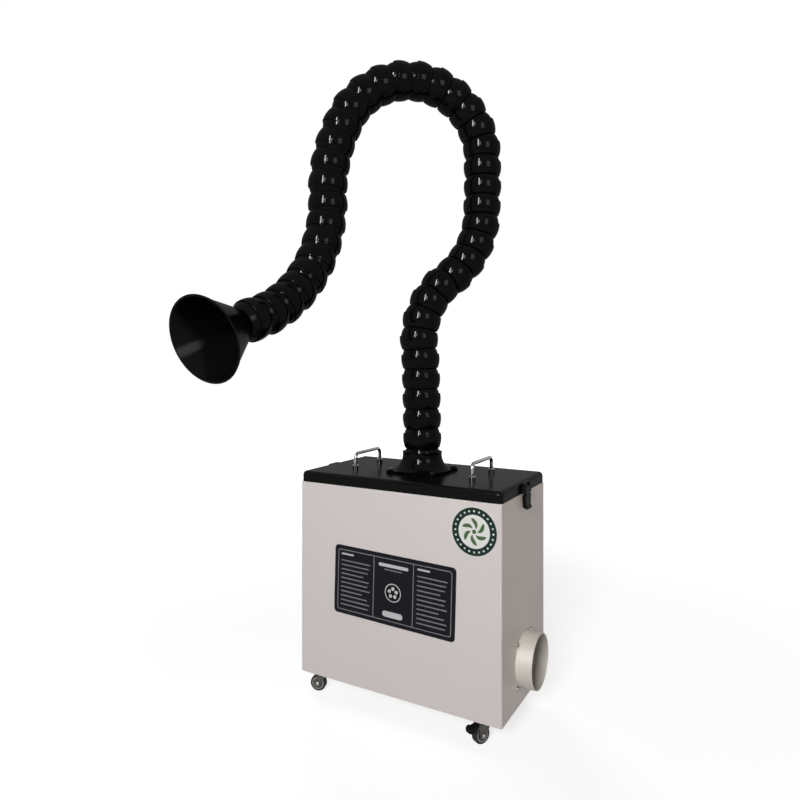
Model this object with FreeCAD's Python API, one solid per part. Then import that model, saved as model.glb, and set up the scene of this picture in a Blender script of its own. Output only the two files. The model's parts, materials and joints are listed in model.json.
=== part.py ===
import FreeCAD, Part
import math
import os

# A portable fume extractor: a sheet-steel cabinet with filters and a fan on four swivel casters,
# a lift-off lid with two handles and two latches, and a ball-and-socket arm with a conical hood.
# Millimetres and degrees. The origin is on the floor under the middle of the cabinet, +X points
# to the outlet end, +Y to the back and +Z up.

# Cabinet sheet metal
CABINET_WIDTH = 430.0
CABINET_DEPTH = 236.0
CABINET_HEIGHT = 384.0
SHEET = 1.2
BEND_RADIUS = 3.0
EDGE_RADIUS = 1.0
TOP_FLANGE = 12.0
SEAT_GAP = 0.2
PAN_WALL = 15.0

# Lid and its seal
LID_HEIGHT = 21.0
LID_CORNER = 9.0
LID_EDGE = 8.0
LID_RIM = 11.0
GASKET_HEIGHT = 3.0
GASKET_INSET = 4.0

# Bow handles on the lid
HANDLE_INSET = 85.0
HANDLE_SPACING = 96.0
HANDLE_RISE = 32.0
HANDLE_ROD_RADIUS = 3.6
HANDLE_BEND = 11.0
FERRULE_RADIUS = 6.2
FERRULE_HEIGHT = 9.0
FERRULE_BEVEL = 1.2
FERRULE_FIT = 0.05
HANDLE_SCREW_RADIUS = 2.0
HANDLE_SCREW_HEAD = 4.0
HANDLE_SCREW_HEAD_HEIGHT = 2.6
HANDLE_SCREW_REACH = 12.0
THREAD_FIT = 0.05

# Latches on the two ends
LATCH_WIDTH = 30.0
LATCH_TIP_WIDTH = 23.0
LATCH_SLOT = 19.0
LATCH_SLOT_FIT = 0.3
LATCH_REACH = 8.0
LATCH_HEIGHT = 20.0
LATCH_BEVEL = 3.5
LATCH_PIN_RADIUS = 1.6
LATCH_PIN_FIT = 0.06
LATCH_PIN_OUT = 4.2
LATCH_PIN_RISE = 9.5
LATCH_BARREL = 3.4
LATCH_LEVER_THICKNESS = 4.2
LATCH_LEVER_DROP = 36.0
LATCH_SHOULDER_DROP = 12.5
LATCH_CURL = 5.0
LATCH_RIB = 1.8
LATCH_RIB_GAP = 0.8
LATCH_CLAW_HEIGHT = 4.0
LATCH_CLEARANCE = 0.3
KEEPER_WIDTH = 16.0
KEEPER_HEIGHT = 14.0
KEEPER_THICKNESS = 1.2
KEEPER_LIP = 1.2
KEEPER_LIP_HEIGHT = 3.0

# Ball-and-socket arm
LINK_PITCH = 40.0
LINK_RADIUS = 38.5
LINK_WALL = 2.0
BALL_GAP = 0.3
BALL_DROP = 12.0
LIP_REACH = 6.0
LIP_TAPER = 0.5
LIP_ROUND = 0.7
BEND_LIMIT = 17.0
BEND_SPARE = 1.0
SHOULDER_SHARE = 0.91
SHOULDER_RISE = 2.0
WIDEST_SHARE = 0.4
LINKS_PER_GROUP = 3
LOOP_PLANE_ANGLE = 44.3
TAIL_PLANE_ANGLE = 81.5
LOOP_LINK_COUNTS = (5, 1, 4, 4, 3, 6, 4, 4)
LOOP_BEND_ANGLES = (0.4, 2.6, -14.2, 12.2, 1.9, 15.6, 14.5, 6.6)
TAIL_LINK_COUNTS = (8,)
TAIL_BEND_ANGLES = (-8.9,)
HOOD_TURN_ANGLE = 7.5

# Arm base flange
FLANGE_CORNER = 10.0
FLANGE_PLATE = 5.0
FLANGE_FOOT_RADIUS = 58.0
FLANGE_LIP_RADIUS = 40.5
FLANGE_LIP_REACH = 10.0
FLANGE_BOLT_GAP = 8.0
FLANGE_BOLT_EDGE = 9.3
FLANGE_WAIST_SHARE = 0.3
SOCKET_HEIGHT = 30.0
BOLT_RADIUS = 3.0
BOLT_HEAD_RADIUS = 5.5
BOLT_HEAD_HEIGHT = 4.0
BOLT_HOLE_GAP = 0.2
NUT_HEIGHT = 5.0
BOLT_TAIL = 2.0

# Hood
HOOD_LENGTH = 109.0
HOOD_NECK_RADIUS = 28.0
HOOD_NECK_RISE = 7.0
HOOD_MOUTH_RADIUS = 73.6
HOOD_WALL = 2.4
HOOD_RIM_WIDTH = 5.0
HOOD_RIM_STEP = 1.4

# Outlet spigot on the right end
OUTLET_FOOT_GAP = 10.3
OUTLET_RADIUS = 50.0
OUTLET_WALL = 2.0
OUTLET_REACH = 30.0
OUTLET_SHOULDER = 0.7
OUTLET_SHOULDER_LENGTH = 4.0
OUTLET_HOLE_GAP = 0.3
OUTLET_FLANGE = 2.5
OUTLET_SCREW_GAP = 6.57
OUTLET_FLANGE_CORNER = 8.0
OUTLET_SCREW_RADIUS = 2.0
OUTLET_SCREW_HEAD = 4.2
OUTLET_SCREW_HEAD_HEIGHT = 2.6
SCREW_HOLE_GAP = 0.2

# Fan and its deck
FAN_OFFSET = -35.0
BRACKET_HEIGHT = 45.0
BRACKET_LENGTH = 100.0
BRACKET_FOOT = 16.0
BRACKET_SHEET = 2.0
MOTOR_RADIUS = 42.0
MOTOR_HEIGHT = 50.0
MOTOR_EDGE = 4.0
MOTOR_COLLAR_RADIUS = 14.0
MOTOR_COLLAR_HEIGHT = 3.0
MOTOR_MARGIN = 6.0
SHAFT_RADIUS = 5.0
SHAFT_FIT = 0.05
SHAFT_DEPTH = 30.0
THRUST_GAP = 0.3
IMPELLER_RADIUS = 88.0
IMPELLER_EYE = 58.0
IMPELLER_PLATE = 2.0
HUB_RADIUS = 18.0
HUB_TOP_RADIUS = 10.0
BLADE_COUNT = 7
BLADE_HEIGHT = 48.0
BLADE_THICKNESS = 2.4
BLADE_INSET = 2.0
BLADE_END_SHARE = 0.98
BLADE_SWEEP_ANGLE = 42.0
BLADE_BULGE_SHARE = 0.38
INLET_GAP = 1.5
INLET_WALL = 2.0
INLET_FLANGE = 16.0
INLET_DEPTH = 14.0
INLET_OVERLAP = 3.0
INLET_MOUTH = 9.0
INLET_BEND_SHARE = 0.3
DECK_WALL = 15.0

# Filters
FILTER_GAP = 2.0
FILTER_FENCE = 10.0
FENCE_GAP = 0.8
FILTER_HEADROOM = 18.3
PREFILTER_HEIGHT = 20.0
CARBON_SHARE = 0.5
FILTER_FRAME = 14.0
FILTER_RECESS = 4.0

# Controls on the back
CONTROL_INSET = 65.0
POWER_INLET_RISE = 55.0
SWITCH_RISE = 95.0
KNOB_RISE = 130.0
INLET_PLATE_WIDTH = 48.0
INLET_PLATE_HEIGHT = 24.0
INLET_PLATE_THICKNESS = 2.5
INLET_BODY_WIDTH = 27.6
INLET_BODY_HEIGHT = 20.0
INLET_BODY_DEPTH = 22.0
INLET_CAVITY_WIDTH = 24.4
INLET_CAVITY_HEIGHT = 16.8
INLET_CAVITY_DEPTH = 17.0
INLET_CAVITY_BEVEL = 4.5
INLET_PIN_SPACING = 7.0
INLET_PIN_STEP = 2.0
INLET_PIN_WIDTH = 2.0
INLET_PIN_HEIGHT = 4.0
INLET_PIN_LENGTH = 14.0
PLATE_CORNER = 3.0
SWITCH_WIDTH = 15.0
SWITCH_HEIGHT = 21.0
SWITCH_FLANGE = 2.0
SWITCH_BODY_WIDTH = 13.0
SWITCH_BODY_HEIGHT = 19.0
SWITCH_BODY_DEPTH = 15.0
SWITCH_POCKET_WIDTH = 10.8
SWITCH_POCKET_HEIGHT = 16.6
SWITCH_POCKET_DEPTH = 8.0
ROCKER_SIDE_GAP = 0.3
ROCKER_LENGTH = 15.2
ROCKER_RISE = 2.4
ROCKER_DIP = 1.2
ROCKER_DEPTH = 5.0
ROCKER_FOOT_SHARE = 0.35
ROCKER_TILT_ANGLE = 7.0
ROCKER_TRUNNION = 1.2
ROCKER_TRUNNION_FIT = 0.06
ROCKER_TRUNNION_REACH = 0.55
CUTOUT_GAP = 0.1
POT_RADIUS = 9.0
POT_DEPTH = 12.0
POT_BUSH_RADIUS = 3.6
POT_BUSH_REACH = 2.0
POT_SHAFT_RADIUS = 3.0
POT_SHAFT_REACH = 13.0
KNOB_RADIUS = 11.0
KNOB_TOP_RADIUS = 9.0
KNOB_HEIGHT = 13.0
KNOB_LIFT = 0.4
KNOB_SHAFT_FIT = 0.05
KNOB_CAP = 2.5
KNOB_FLUTE_COUNT = 12
KNOB_FLUTE_RADIUS = 1.6
KNOB_FLUTE_PHASE_SHARE = 0.4
KNOB_MARK_WIDTH = 1.2
KNOB_MARK_DEPTH = 0.6
KNOB_MARK_ANGLE = -45.0

# Swivel casters
CASTER_END_INSET = 39.0
CASTER_SIDE_INSET = 27.0
CASTER_PLATE_SIDE = 38.0
CASTER_PLATE = 2.0
CASTER_PLATE_CORNER = 5.0
RACE_RADIUS = 12.0
RACE_HEIGHT = 3.0
KINGPIN_RADIUS = 3.5
KINGPIN_FIT = 0.06
KINGPIN_HEAD_RADIUS = 5.5
KINGPIN_HEAD_HEIGHT = 1.8
SWIVEL_GAP = 0.3
FORK_SHEET = 1.8
FORK_CROWN_RADIUS = 12.5
FORK_TOE = 7.0
WHEEL_RADIUS = 16.0
WHEEL_WIDTH = 12.0
WHEEL_TRAIL = 13.0
WHEEL_CROWN_GAP = 3.9
WHEEL_SIDE_GAP = 0.5
WHEEL_RECESS = 1.6
TYRE_THICKNESS = 4.2
TYRE_ROUND = 2.0
HUB_BOSS_RADIUS = 4.8
HUB_RIM = 1.6
AXLE_RADIUS = 2.4
AXLE_FIT = 0.06
AXLE_HEAD_RADIUS = 4.2
AXLE_HEAD = 1.2
PEDAL_PIVOT_OUT = 4.5
PEDAL_PIVOT_GAP = 2.4
PEDAL_PIN_RADIUS = 1.1
PEDAL_PIN_FIT = 0.06
PEDAL_BARREL = 2.2
PEDAL_REACH = 24.0
PEDAL_FALL = 5.0
PEDAL_THICKNESS = 3.4
PEDAL_TREAD_WIDTH = 19.0
PEDAL_TREAD_START = 14.5
PEDAL_TREAD_THICKNESS = 5.8
PEDAL_TREAD_CORNER = 6.0
PEDAL_SIDE_GAP = 0.3
CASTER_NAMES = ("front_left", "front_right", "rear_left", "rear_right")
CASTER_SIDES = {"front_left": (-1, -1), "front_right": (1, -1), "rear_left": (-1, 1), "rear_right": (1, 1)}
CASTER_TURNS = {"front_left": 197.0, "front_right": 241.0, "rear_left": 150.0, "rear_right": 215.0}
BRAKED_CASTERS = ("front_right", "rear_right")

# One overrun serves all cuts
OVERRUN = 1.0
QUARTER_TURN = 90.0
HALF_TURN = 180.0
FULL_TURN = 360.0
HEXAGON_SIDE_COUNT = 6
ALONG_SHARE = 0.99

V = FreeCAD.Vector
ORIGIN = V(0, 0, 0)
RIGHT = V(1, 0, 0)
BACK = V(0, 1, 0)
UP = V(0, 0, 1)

# Levels and fits that follow from the values above
CROWN_TOP = 2 * WHEEL_RADIUS + WHEEL_CROWN_GAP + FORK_SHEET
CASTER_HEIGHT = CROWN_TOP + SWIVEL_GAP + RACE_HEIGHT + CASTER_PLATE
BASE_Z = CASTER_HEIGHT
TOP_Z = BASE_Z + CABINET_HEIGHT
LID_Z = TOP_Z + LID_HEIGHT
ARM_Z = LID_Z + SOCKET_HEIGHT
END_X = CABINET_WIDTH / 2
BACK_Y = CABINET_DEPTH / 2
HANDLE_OFFSET = END_X - HANDLE_INSET
CASTER_OFFSET_X = END_X - CASTER_END_INSET
CASTER_OFFSET_Y = BACK_Y - CASTER_SIDE_INSET
INNER_WIDTH = CABINET_WIDTH - 2 * SHEET
INNER_DEPTH = CABINET_DEPTH - 2 * SHEET
OPENING_WIDTH = CABINET_WIDTH - 2 * TOP_FLANGE
OPENING_DEPTH = CABINET_DEPTH - 2 * TOP_FLANGE
FILTER_WIDTH = OPENING_WIDTH - 2 * FILTER_GAP
FILTER_DEPTH = OPENING_DEPTH - 2 * FILTER_GAP
PAN_TOP = BASE_Z + SHEET
MOTOR_Z = PAN_TOP + BRACKET_HEIGHT
DISC_Z = MOTOR_Z + MOTOR_HEIGHT + MOTOR_COLLAR_HEIGHT + THRUST_GAP
SHROUD_Z = DISC_Z + IMPELLER_PLATE + BLADE_HEIGHT
DECK_Z = SHROUD_Z + IMPELLER_PLATE - INLET_OVERLAP + INLET_DEPTH + INLET_WALL
FILTER_Z = DECK_Z + SHEET
PREFILTER_Z = TOP_Z - FILTER_HEADROOM - PREFILTER_HEIGHT
CARBON_HEIGHT = (PREFILTER_Z - FILTER_Z) * CARBON_SHARE
PARTICLE_HEIGHT = PREFILTER_Z - FILTER_Z - CARBON_HEIGHT
OUTLET_Z = BASE_Z + PAN_WALL + OUTLET_FOOT_GAP + OUTLET_RADIUS
OUTLET_FLANGE_SIDE = 2 * OUTLET_RADIUS
OUTLET_SCREW_SPACING = (OUTLET_RADIUS + OUTLET_SCREW_GAP) * math.sqrt(2)
FLANGE_BOLT_OFFSET = (FLANGE_FOOT_RADIUS + FLANGE_BOLT_GAP) / math.sqrt(2)
FLANGE_SIDE = 2 * (FLANGE_BOLT_OFFSET + FLANGE_BOLT_EDGE)
SOCKET_RADIUS = LINK_RADIUS - LINK_WALL
BALL_RADIUS = SOCKET_RADIUS - BALL_GAP
BALL_BORE = BALL_RADIUS - LINK_WALL
THROAT_HEIGHT = (LINK_PITCH ** 2 + BALL_BORE ** 2 - SOCKET_RADIUS ** 2) / (2 * LINK_PITCH)
LIP_ANGLE = math.degrees(math.asin(LIP_REACH / SOCKET_RADIUS))
NECK_HEIGHT = BALL_RADIUS * math.sin(math.radians(LIP_ANGLE + BEND_LIMIT + BEND_SPARE))
ARM_BORE = math.sqrt(BALL_BORE ** 2 - THROAT_HEIGHT ** 2)
WHEEL_INSIDE = WHEEL_WIDTH / 2 + WHEEL_SIDE_GAP
FORK_OUTSIDE = WHEEL_INSIDE + FORK_SHEET


def along(edge, axis):
    """True where an edge runs along an axis."""
    return abs(edge.tangentAt(edge.FirstParameter).dot(axis)) > ALONG_SHARE


def rounded_wire(width, depth, radius, z):
    """A rectangle with round corners, centred on the Z axis."""
    x = width / 2 - radius
    y = depth / 2 - radius
    arcs = []
    for turn, side_x, side_y in ((0, 1, 1), (1, -1, 1), (2, -1, -1), (3, 1, -1)):
        centre = V(side_x * x, side_y * y, z)
        start = turn * QUARTER_TURN
        arcs.append(Part.makeCircle(radius, centre, UP, start, start + QUARTER_TURN))
    edges = []
    for arc, after in zip(arcs, arcs[1:] + arcs[:1]):
        edges.append(arc)
        edges.append(Part.makeLine(arc.Vertexes[-1].Point, after.Vertexes[0].Point))
    return Part.Wire(edges)


def rounded_block(width, depth, radius, z, height):
    """An upright block with round corners, centred on the Z axis."""
    return Part.Face(rounded_wire(width, depth, radius, z)).extrude(UP * height)


def block(width, depth, height, centre_x, centre_y, z):
    """A plain block centred on a point of a level plane."""
    corner = V(centre_x - width / 2, centre_y - depth / 2, z)
    return Part.makeBox(width, depth, height, corner)


def prism(points, travel):
    """A flat outline of straight sides, drawn out along a vector."""
    return Part.Face(Part.makePolygon(list(points) + [points[0]])).extrude(travel)


def hexagon(radius, z, height):
    """A hexagonal prism on the Z axis."""
    points = [polar(radius, side * FULL_TURN / HEXAGON_SIDE_COUNT, z) for side in range(HEXAGON_SIDE_COUNT)]
    return prism(points, UP * height)


def polar(radius, degrees, z=0):
    """A point at a radius and an angle round the Z axis."""
    angle = math.radians(degrees)
    return V(radius * math.cos(angle), radius * math.sin(angle), z)


def arc(start, middle, end):
    """A round edge through three points."""
    return Part.Arc(start, middle, end).toShape()


def turned(edges):
    """A closed outline in the XZ plane, turned about the Z axis."""
    wire = Part.Wire(Part.__sortEdges__(edges))
    return Part.Face(wire).revolve(ORIGIN, UP, FULL_TURN)


def turned_points(pairs):
    """A closed outline of (radius, height) pairs, turned about the Z axis."""
    points = [V(radius, 0, height) for radius, height in pairs]
    return Part.Face(Part.makePolygon(points + [points[0]])).revolve(ORIGIN, UP, FULL_TURN)


def on_sphere(radius, height, centre=0):
    """The point of a sphere's outline at a height over its centre."""
    return V(math.sqrt(radius ** 2 - height ** 2), 0, centre + height)


def sphere_arc(radius, low, high, centre=0):
    """A stretch of a sphere's outline between two heights over its centre."""
    middle = on_sphere(radius, (low + high) / 2, centre)
    return arc(on_sphere(radius, low, centre), middle, on_sphere(radius, high, centre))


def facing_right(shape):
    """Turns a piece made on the Z axis so that it points to +X."""
    return shape.rotated(ORIGIN, BACK, QUARTER_TURN)


def facing_back(shape):
    """Turns a piece made on the Z axis so that it points to +Y."""
    return shape.rotated(ORIGIN, RIGHT, -QUARTER_TURN)


def both_ends(shape):
    """A piece on the right end and its mirror image on the left end."""
    return [shape, shape.mirror(ORIGIN, RIGHT)]


def corners(offset_x, offset_y):
    """The four corners of a rectangle centred on the Z axis."""
    return [V(x, y, 0) for x in (-offset_x, offset_x) for y in (-offset_y, offset_y)]


# Cabinet

def outlet_places():
    """The outlet flange's screw places on the right end."""
    half = OUTLET_SCREW_SPACING / 2
    return [V(END_X, y, OUTLET_Z + z) for y in (-half, half) for z in (-half, half)]


def back_place(rise):
    """A control's place on the back panel."""
    return V(CONTROL_INSET - END_X, BACK_Y, BASE_Z + rise)


def back_cutout(width, height, rise):
    """A square cut through the back panel round a control's body."""
    place = back_place(rise)
    wide = width + 2 * CUTOUT_GAP
    high = height + 2 * CUTOUT_GAP
    return block(wide, 2 * SHEET + 2 * OVERRUN, high, place.x, place.y, place.z - high / 2)


def cabinet_shell():
    """Four folded walls with a flange turned in round the top opening."""
    outer = rounded_block(CABINET_WIDTH, CABINET_DEPTH, BEND_RADIUS, BASE_Z, CABINET_HEIGHT)
    rim = [edge for edge in outer.Edges if edge.BoundBox.ZMin > TOP_Z - SHEET]
    outer = outer.makeFillet(EDGE_RADIUS, rim)
    room_height = CABINET_HEIGHT - SHEET + OVERRUN
    room = rounded_block(INNER_WIDTH, INNER_DEPTH, BEND_RADIUS - SHEET, BASE_Z - OVERRUN, room_height)
    opening = rounded_block(OPENING_WIDTH, OPENING_DEPTH, BEND_RADIUS, BASE_Z, CABINET_HEIGHT + OVERRUN)
    shell = outer.cut(room).cut(opening)
    through = 2 * SHEET + 2 * OVERRUN
    hole_radius = OUTLET_RADIUS + OUTLET_SHOULDER + OUTLET_HOLE_GAP
    hole_start = V(END_X - SHEET - OVERRUN, 0, OUTLET_Z)
    cuts = [Part.makeCylinder(hole_radius, through, hole_start, RIGHT)]
    for place in outlet_places():
        start = place - RIGHT * (SHEET + OVERRUN)
        cuts.append(Part.makeCylinder(OUTLET_SCREW_RADIUS + SCREW_HOLE_GAP, through, start, RIGHT))
    cuts.append(back_cutout(INLET_BODY_WIDTH, INLET_BODY_HEIGHT, POWER_INLET_RISE))
    cuts.append(back_cutout(SWITCH_BODY_WIDTH, SWITCH_BODY_HEIGHT, SWITCH_RISE))
    bush_start = back_place(KNOB_RISE) - BACK * (SHEET + OVERRUN)
    cuts.append(Part.makeCylinder(POT_BUSH_RADIUS + CUTOUT_GAP, through, bush_start, BACK))
    return shell.cut(cuts)


def folded_tray(z, wall, downward):
    """A sheet that closes the cabinet's plan, with its edges turned up or down along the walls."""
    width = INNER_WIDTH - 2 * SEAT_GAP
    depth = INNER_DEPTH - 2 * SEAT_GAP
    radius = BEND_RADIUS - SHEET
    low = z + SHEET - wall if downward else z
    tray = rounded_block(width, depth, radius, low, wall)
    hollow_low = low - OVERRUN if downward else z + SHEET
    hollow_height = wall - SHEET + OVERRUN
    return tray.cut(block(width - 2 * SHEET, depth - 2 * SHEET, hollow_height, 0, 0, hollow_low))


def base_pan():
    """The floor of the cabinet, with its edges turned up inside the walls."""
    return folded_tray(BASE_Z, PAN_WALL, False)


def fan_deck():
    """The shelf between filters and fan, with the inlet hole and a fence round the filters."""
    deck = folded_tray(DECK_Z, DECK_WALL, True)
    fence_width = FILTER_WIDTH + 2 * FENCE_GAP
    fence_depth = FILTER_DEPTH + 2 * FENCE_GAP
    fence_outside = block(fence_width + 2 * SHEET, fence_depth + 2 * SHEET, FILTER_FENCE, 0, 0, FILTER_Z)
    fence = fence_outside.cut(block(fence_width, fence_depth, FILTER_FENCE, 0, 0, FILTER_Z))
    hole_radius = inlet_mouth_radius()
    hole = Part.makeCylinder(hole_radius, 2 * SHEET + 2 * OVERRUN, V(FAN_OFFSET, 0, DECK_Z - OVERRUN))
    return deck.fuse(fence).removeSplitter().cut(hole)


def lid_gasket():
    """A foam seal on the top flange, under the lid's inner rim."""
    width = CABINET_WIDTH - 2 * GASKET_INSET
    depth = CABINET_DEPTH - 2 * GASKET_INSET
    outer = rounded_block(width, depth, BEND_RADIUS, TOP_Z, GASKET_HEIGHT)
    cut_height = GASKET_HEIGHT + 2 * OVERRUN
    return outer.cut(rounded_block(OPENING_WIDTH, OPENING_DEPTH, BEND_RADIUS, TOP_Z - OVERRUN, cut_height))


# Filters

def filter_block(z, height):
    """A framed filter with its media set back in both faces."""
    body = block(FILTER_WIDTH, FILTER_DEPTH, height, 0, 0, z)
    face_width = FILTER_WIDTH - 2 * FILTER_FRAME
    face_depth = FILTER_DEPTH - 2 * FILTER_FRAME
    above = block(face_width, face_depth, FILTER_RECESS + OVERRUN, 0, 0, z + height - FILTER_RECESS)
    below = block(face_width, face_depth, FILTER_RECESS + OVERRUN, 0, 0, z - OVERRUN)
    return body.cut([above, below])


def carbon_filter():
    return filter_block(FILTER_Z, CARBON_HEIGHT)


def particle_filter():
    return filter_block(FILTER_Z + CARBON_HEIGHT, PARTICLE_HEIGHT)


def prefilter_mat():
    return block(FILTER_WIDTH, FILTER_DEPTH, PREFILTER_HEIGHT, 0, 0, PREFILTER_Z)


# Fan

def at_fan(shape):
    """Moves a piece made on the Z axis to the fan's axis."""
    return shape.translated(RIGHT * FAN_OFFSET)


def inlet_mouth_radius():
    return IMPELLER_EYE - INLET_GAP + INLET_MOUTH - INLET_WALL


def inlet_ring():
    """A flared nozzle under the deck that leads air into the impeller's eye."""
    low = DECK_Z - INLET_WALL - INLET_DEPTH
    throat = IMPELLER_EYE - INLET_GAP
    mouth = throat + INLET_MOUTH
    top = DECK_Z - INLET_WALL
    outer_middle = V(throat + INLET_MOUTH * INLET_BEND_SHARE, 0, top - INLET_DEPTH * INLET_BEND_SHARE)
    inner_middle = outer_middle - RIGHT * INLET_WALL
    edges = [
        arc(V(throat, 0, low), outer_middle, V(mouth, 0, top)),
        Part.makeLine(V(mouth, 0, top), V(mouth + INLET_FLANGE, 0, top)),
        Part.makeLine(V(mouth + INLET_FLANGE, 0, top), V(mouth + INLET_FLANGE, 0, DECK_Z)),
        Part.makeLine(V(mouth + INLET_FLANGE, 0, DECK_Z), V(mouth - INLET_WALL, 0, DECK_Z)),
        Part.makeLine(V(mouth - INLET_WALL, 0, DECK_Z), V(mouth - INLET_WALL, 0, top)),
        arc(V(mouth - INLET_WALL, 0, top), inner_middle, V(throat - INLET_WALL, 0, low)),
        Part.makeLine(V(throat - INLET_WALL, 0, low), V(throat, 0, low)),
    ]
    return at_fan(turned(edges))


def fan_motor():
    """The motor's housing, with a bearing bore for the impeller's shaft."""
    body = Part.makeCylinder(MOTOR_RADIUS, MOTOR_HEIGHT, UP * MOTOR_Z)
    round_edges = [edge for edge in body.Edges if edge.Closed]
    body = body.makeFillet(MOTOR_EDGE, round_edges)
    top = MOTOR_Z + MOTOR_HEIGHT
    collar = Part.makeCylinder(MOTOR_COLLAR_RADIUS, MOTOR_COLLAR_HEIGHT, UP * top)
    depth = SHAFT_DEPTH + MOTOR_COLLAR_HEIGHT + THRUST_GAP
    bore_low = top + MOTOR_COLLAR_HEIGHT - depth
    bore = Part.makeCylinder(SHAFT_RADIUS + SHAFT_FIT, depth + OVERRUN, UP * bore_low)
    return at_fan(body.fuse(collar).cut(bore))


def motor_bracket():
    """A hat-shaped folded bracket that holds the motor over the base pan."""
    t = BRACKET_SHEET
    half = MOTOR_RADIUS + MOTOR_MARGIN
    top = MOTOR_Z
    outline = (
        V(0, -half - BRACKET_FOOT, PAN_TOP),
        V(0, -half + t, PAN_TOP),
        V(0, -half + t, top - t),
        V(0, half - t, top - t),
        V(0, half - t, PAN_TOP),
        V(0, half + BRACKET_FOOT, PAN_TOP),
        V(0, half + BRACKET_FOOT, PAN_TOP + t),
        V(0, half, PAN_TOP + t),
        V(0, half, top),
        V(0, -half, top),
        V(0, -half, PAN_TOP + t),
        V(0, -half - BRACKET_FOOT, PAN_TOP + t),
    )
    hat = prism(outline, RIGHT * BRACKET_LENGTH)
    return at_fan(hat.translated(RIGHT * (-BRACKET_LENGTH / 2)))


def blade():
    """One backward-curved blade of the impeller."""
    start = IMPELLER_EYE + BLADE_INSET
    end = IMPELLER_RADIUS * BLADE_END_SHARE
    middle = (start + end) / 2
    step = math.degrees(BLADE_THICKNESS / middle)
    z = DISC_Z + IMPELLER_PLATE / 2
    sides = []
    for shift in (0, step):
        first = polar(start, shift, z)
        between = polar(middle, shift - BLADE_SWEEP_ANGLE * BLADE_BULGE_SHARE, z)
        last = polar(end, shift - BLADE_SWEEP_ANGLE, z)
        sides.append((first, between, last))
    near, far = sides
    edges = [
        arc(*near),
        Part.makeLine(near[2], far[2]),
        arc(*far),
        Part.makeLine(far[0], near[0]),
    ]
    wire = Part.Wire(Part.__sortEdges__(edges))
    return Part.Face(wire).extrude(UP * (BLADE_HEIGHT + IMPELLER_PLATE))


def fan_impeller():
    """Back plate, backward-curved blades, shroud ring and shaft."""
    plate = Part.makeCylinder(IMPELLER_RADIUS, IMPELLER_PLATE, UP * DISC_Z)
    shroud = turned_points((
        (IMPELLER_EYE, SHROUD_Z),
        (IMPELLER_RADIUS, SHROUD_Z),
        (IMPELLER_RADIUS, SHROUD_Z + IMPELLER_PLATE),
        (IMPELLER_EYE, SHROUD_Z + IMPELLER_PLATE),
    ))
    hub = Part.makeCone(HUB_RADIUS, HUB_TOP_RADIUS, BLADE_HEIGHT / 2, UP * (DISC_Z + IMPELLER_PLATE / 2))
    shaft_low = DISC_Z - MOTOR_COLLAR_HEIGHT - SHAFT_DEPTH
    shaft = Part.makeCylinder(SHAFT_RADIUS, DISC_Z + IMPELLER_PLATE - shaft_low, UP * shaft_low)
    pieces = [shroud, hub, shaft]
    for turn in range(BLADE_COUNT):
        pieces.append(blade().rotated(ORIGIN, UP, turn * FULL_TURN / BLADE_COUNT))
    return at_fan(plate.multiFuse(pieces))


# Outlet

def outlet_collar():
    """A round spigot with a square flange inside the right end panel."""
    inside = END_X - SHEET - OUTLET_FLANGE
    bore = OUTLET_RADIUS - OUTLET_WALL
    shoulder = OUTLET_RADIUS + OUTLET_SHOULDER
    shoulder_end = SHEET + OUTLET_FLANGE + OUTLET_SHOULDER_LENGTH
    spigot = turned_points((
        (bore, 0),
        (shoulder, 0),
        (shoulder, shoulder_end),
        (OUTLET_RADIUS, shoulder_end),
        (OUTLET_RADIUS, SHEET + OUTLET_FLANGE + OUTLET_REACH),
        (bore, SHEET + OUTLET_FLANGE + OUTLET_REACH),
    ))
    side = OUTLET_FLANGE_SIDE
    flange = rounded_block(side, side, OUTLET_FLANGE_CORNER, 0, OUTLET_FLANGE)
    through = OUTLET_FLANGE + 2 * OVERRUN
    flange = flange.cut(Part.makeCylinder(bore, through, UP * -OVERRUN))
    half = OUTLET_SCREW_SPACING / 2
    hole = Part.makeCylinder(OUTLET_SCREW_RADIUS + THREAD_FIT, through, UP * -OVERRUN)
    flange = flange.cut([hole.translated(place) for place in corners(half, half)])
    return facing_right(spigot.fuse(flange)).translated(V(inside, 0, OUTLET_Z))


def outlet_screws():
    """Four pan-head screws that hold the outlet flange to the panel."""
    screws = []
    for place in outlet_places():
        head = Part.makeCylinder(OUTLET_SCREW_HEAD, OUTLET_SCREW_HEAD_HEIGHT, place, RIGHT)
        round_off = OUTLET_SCREW_HEAD_HEIGHT / 2
        crown = [edge for edge in head.Edges if edge.Closed and edge.CenterOfMass.x > place.x + round_off]
        head = head.makeFillet(round_off, crown)
        shank_length = SHEET + OUTLET_FLANGE
        shank = Part.makeCylinder(OUTLET_SCREW_RADIUS, shank_length, place - RIGHT * shank_length, RIGHT)
        screws.append(head.fuse(shank))
    return screws


# Controls on the back

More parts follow.
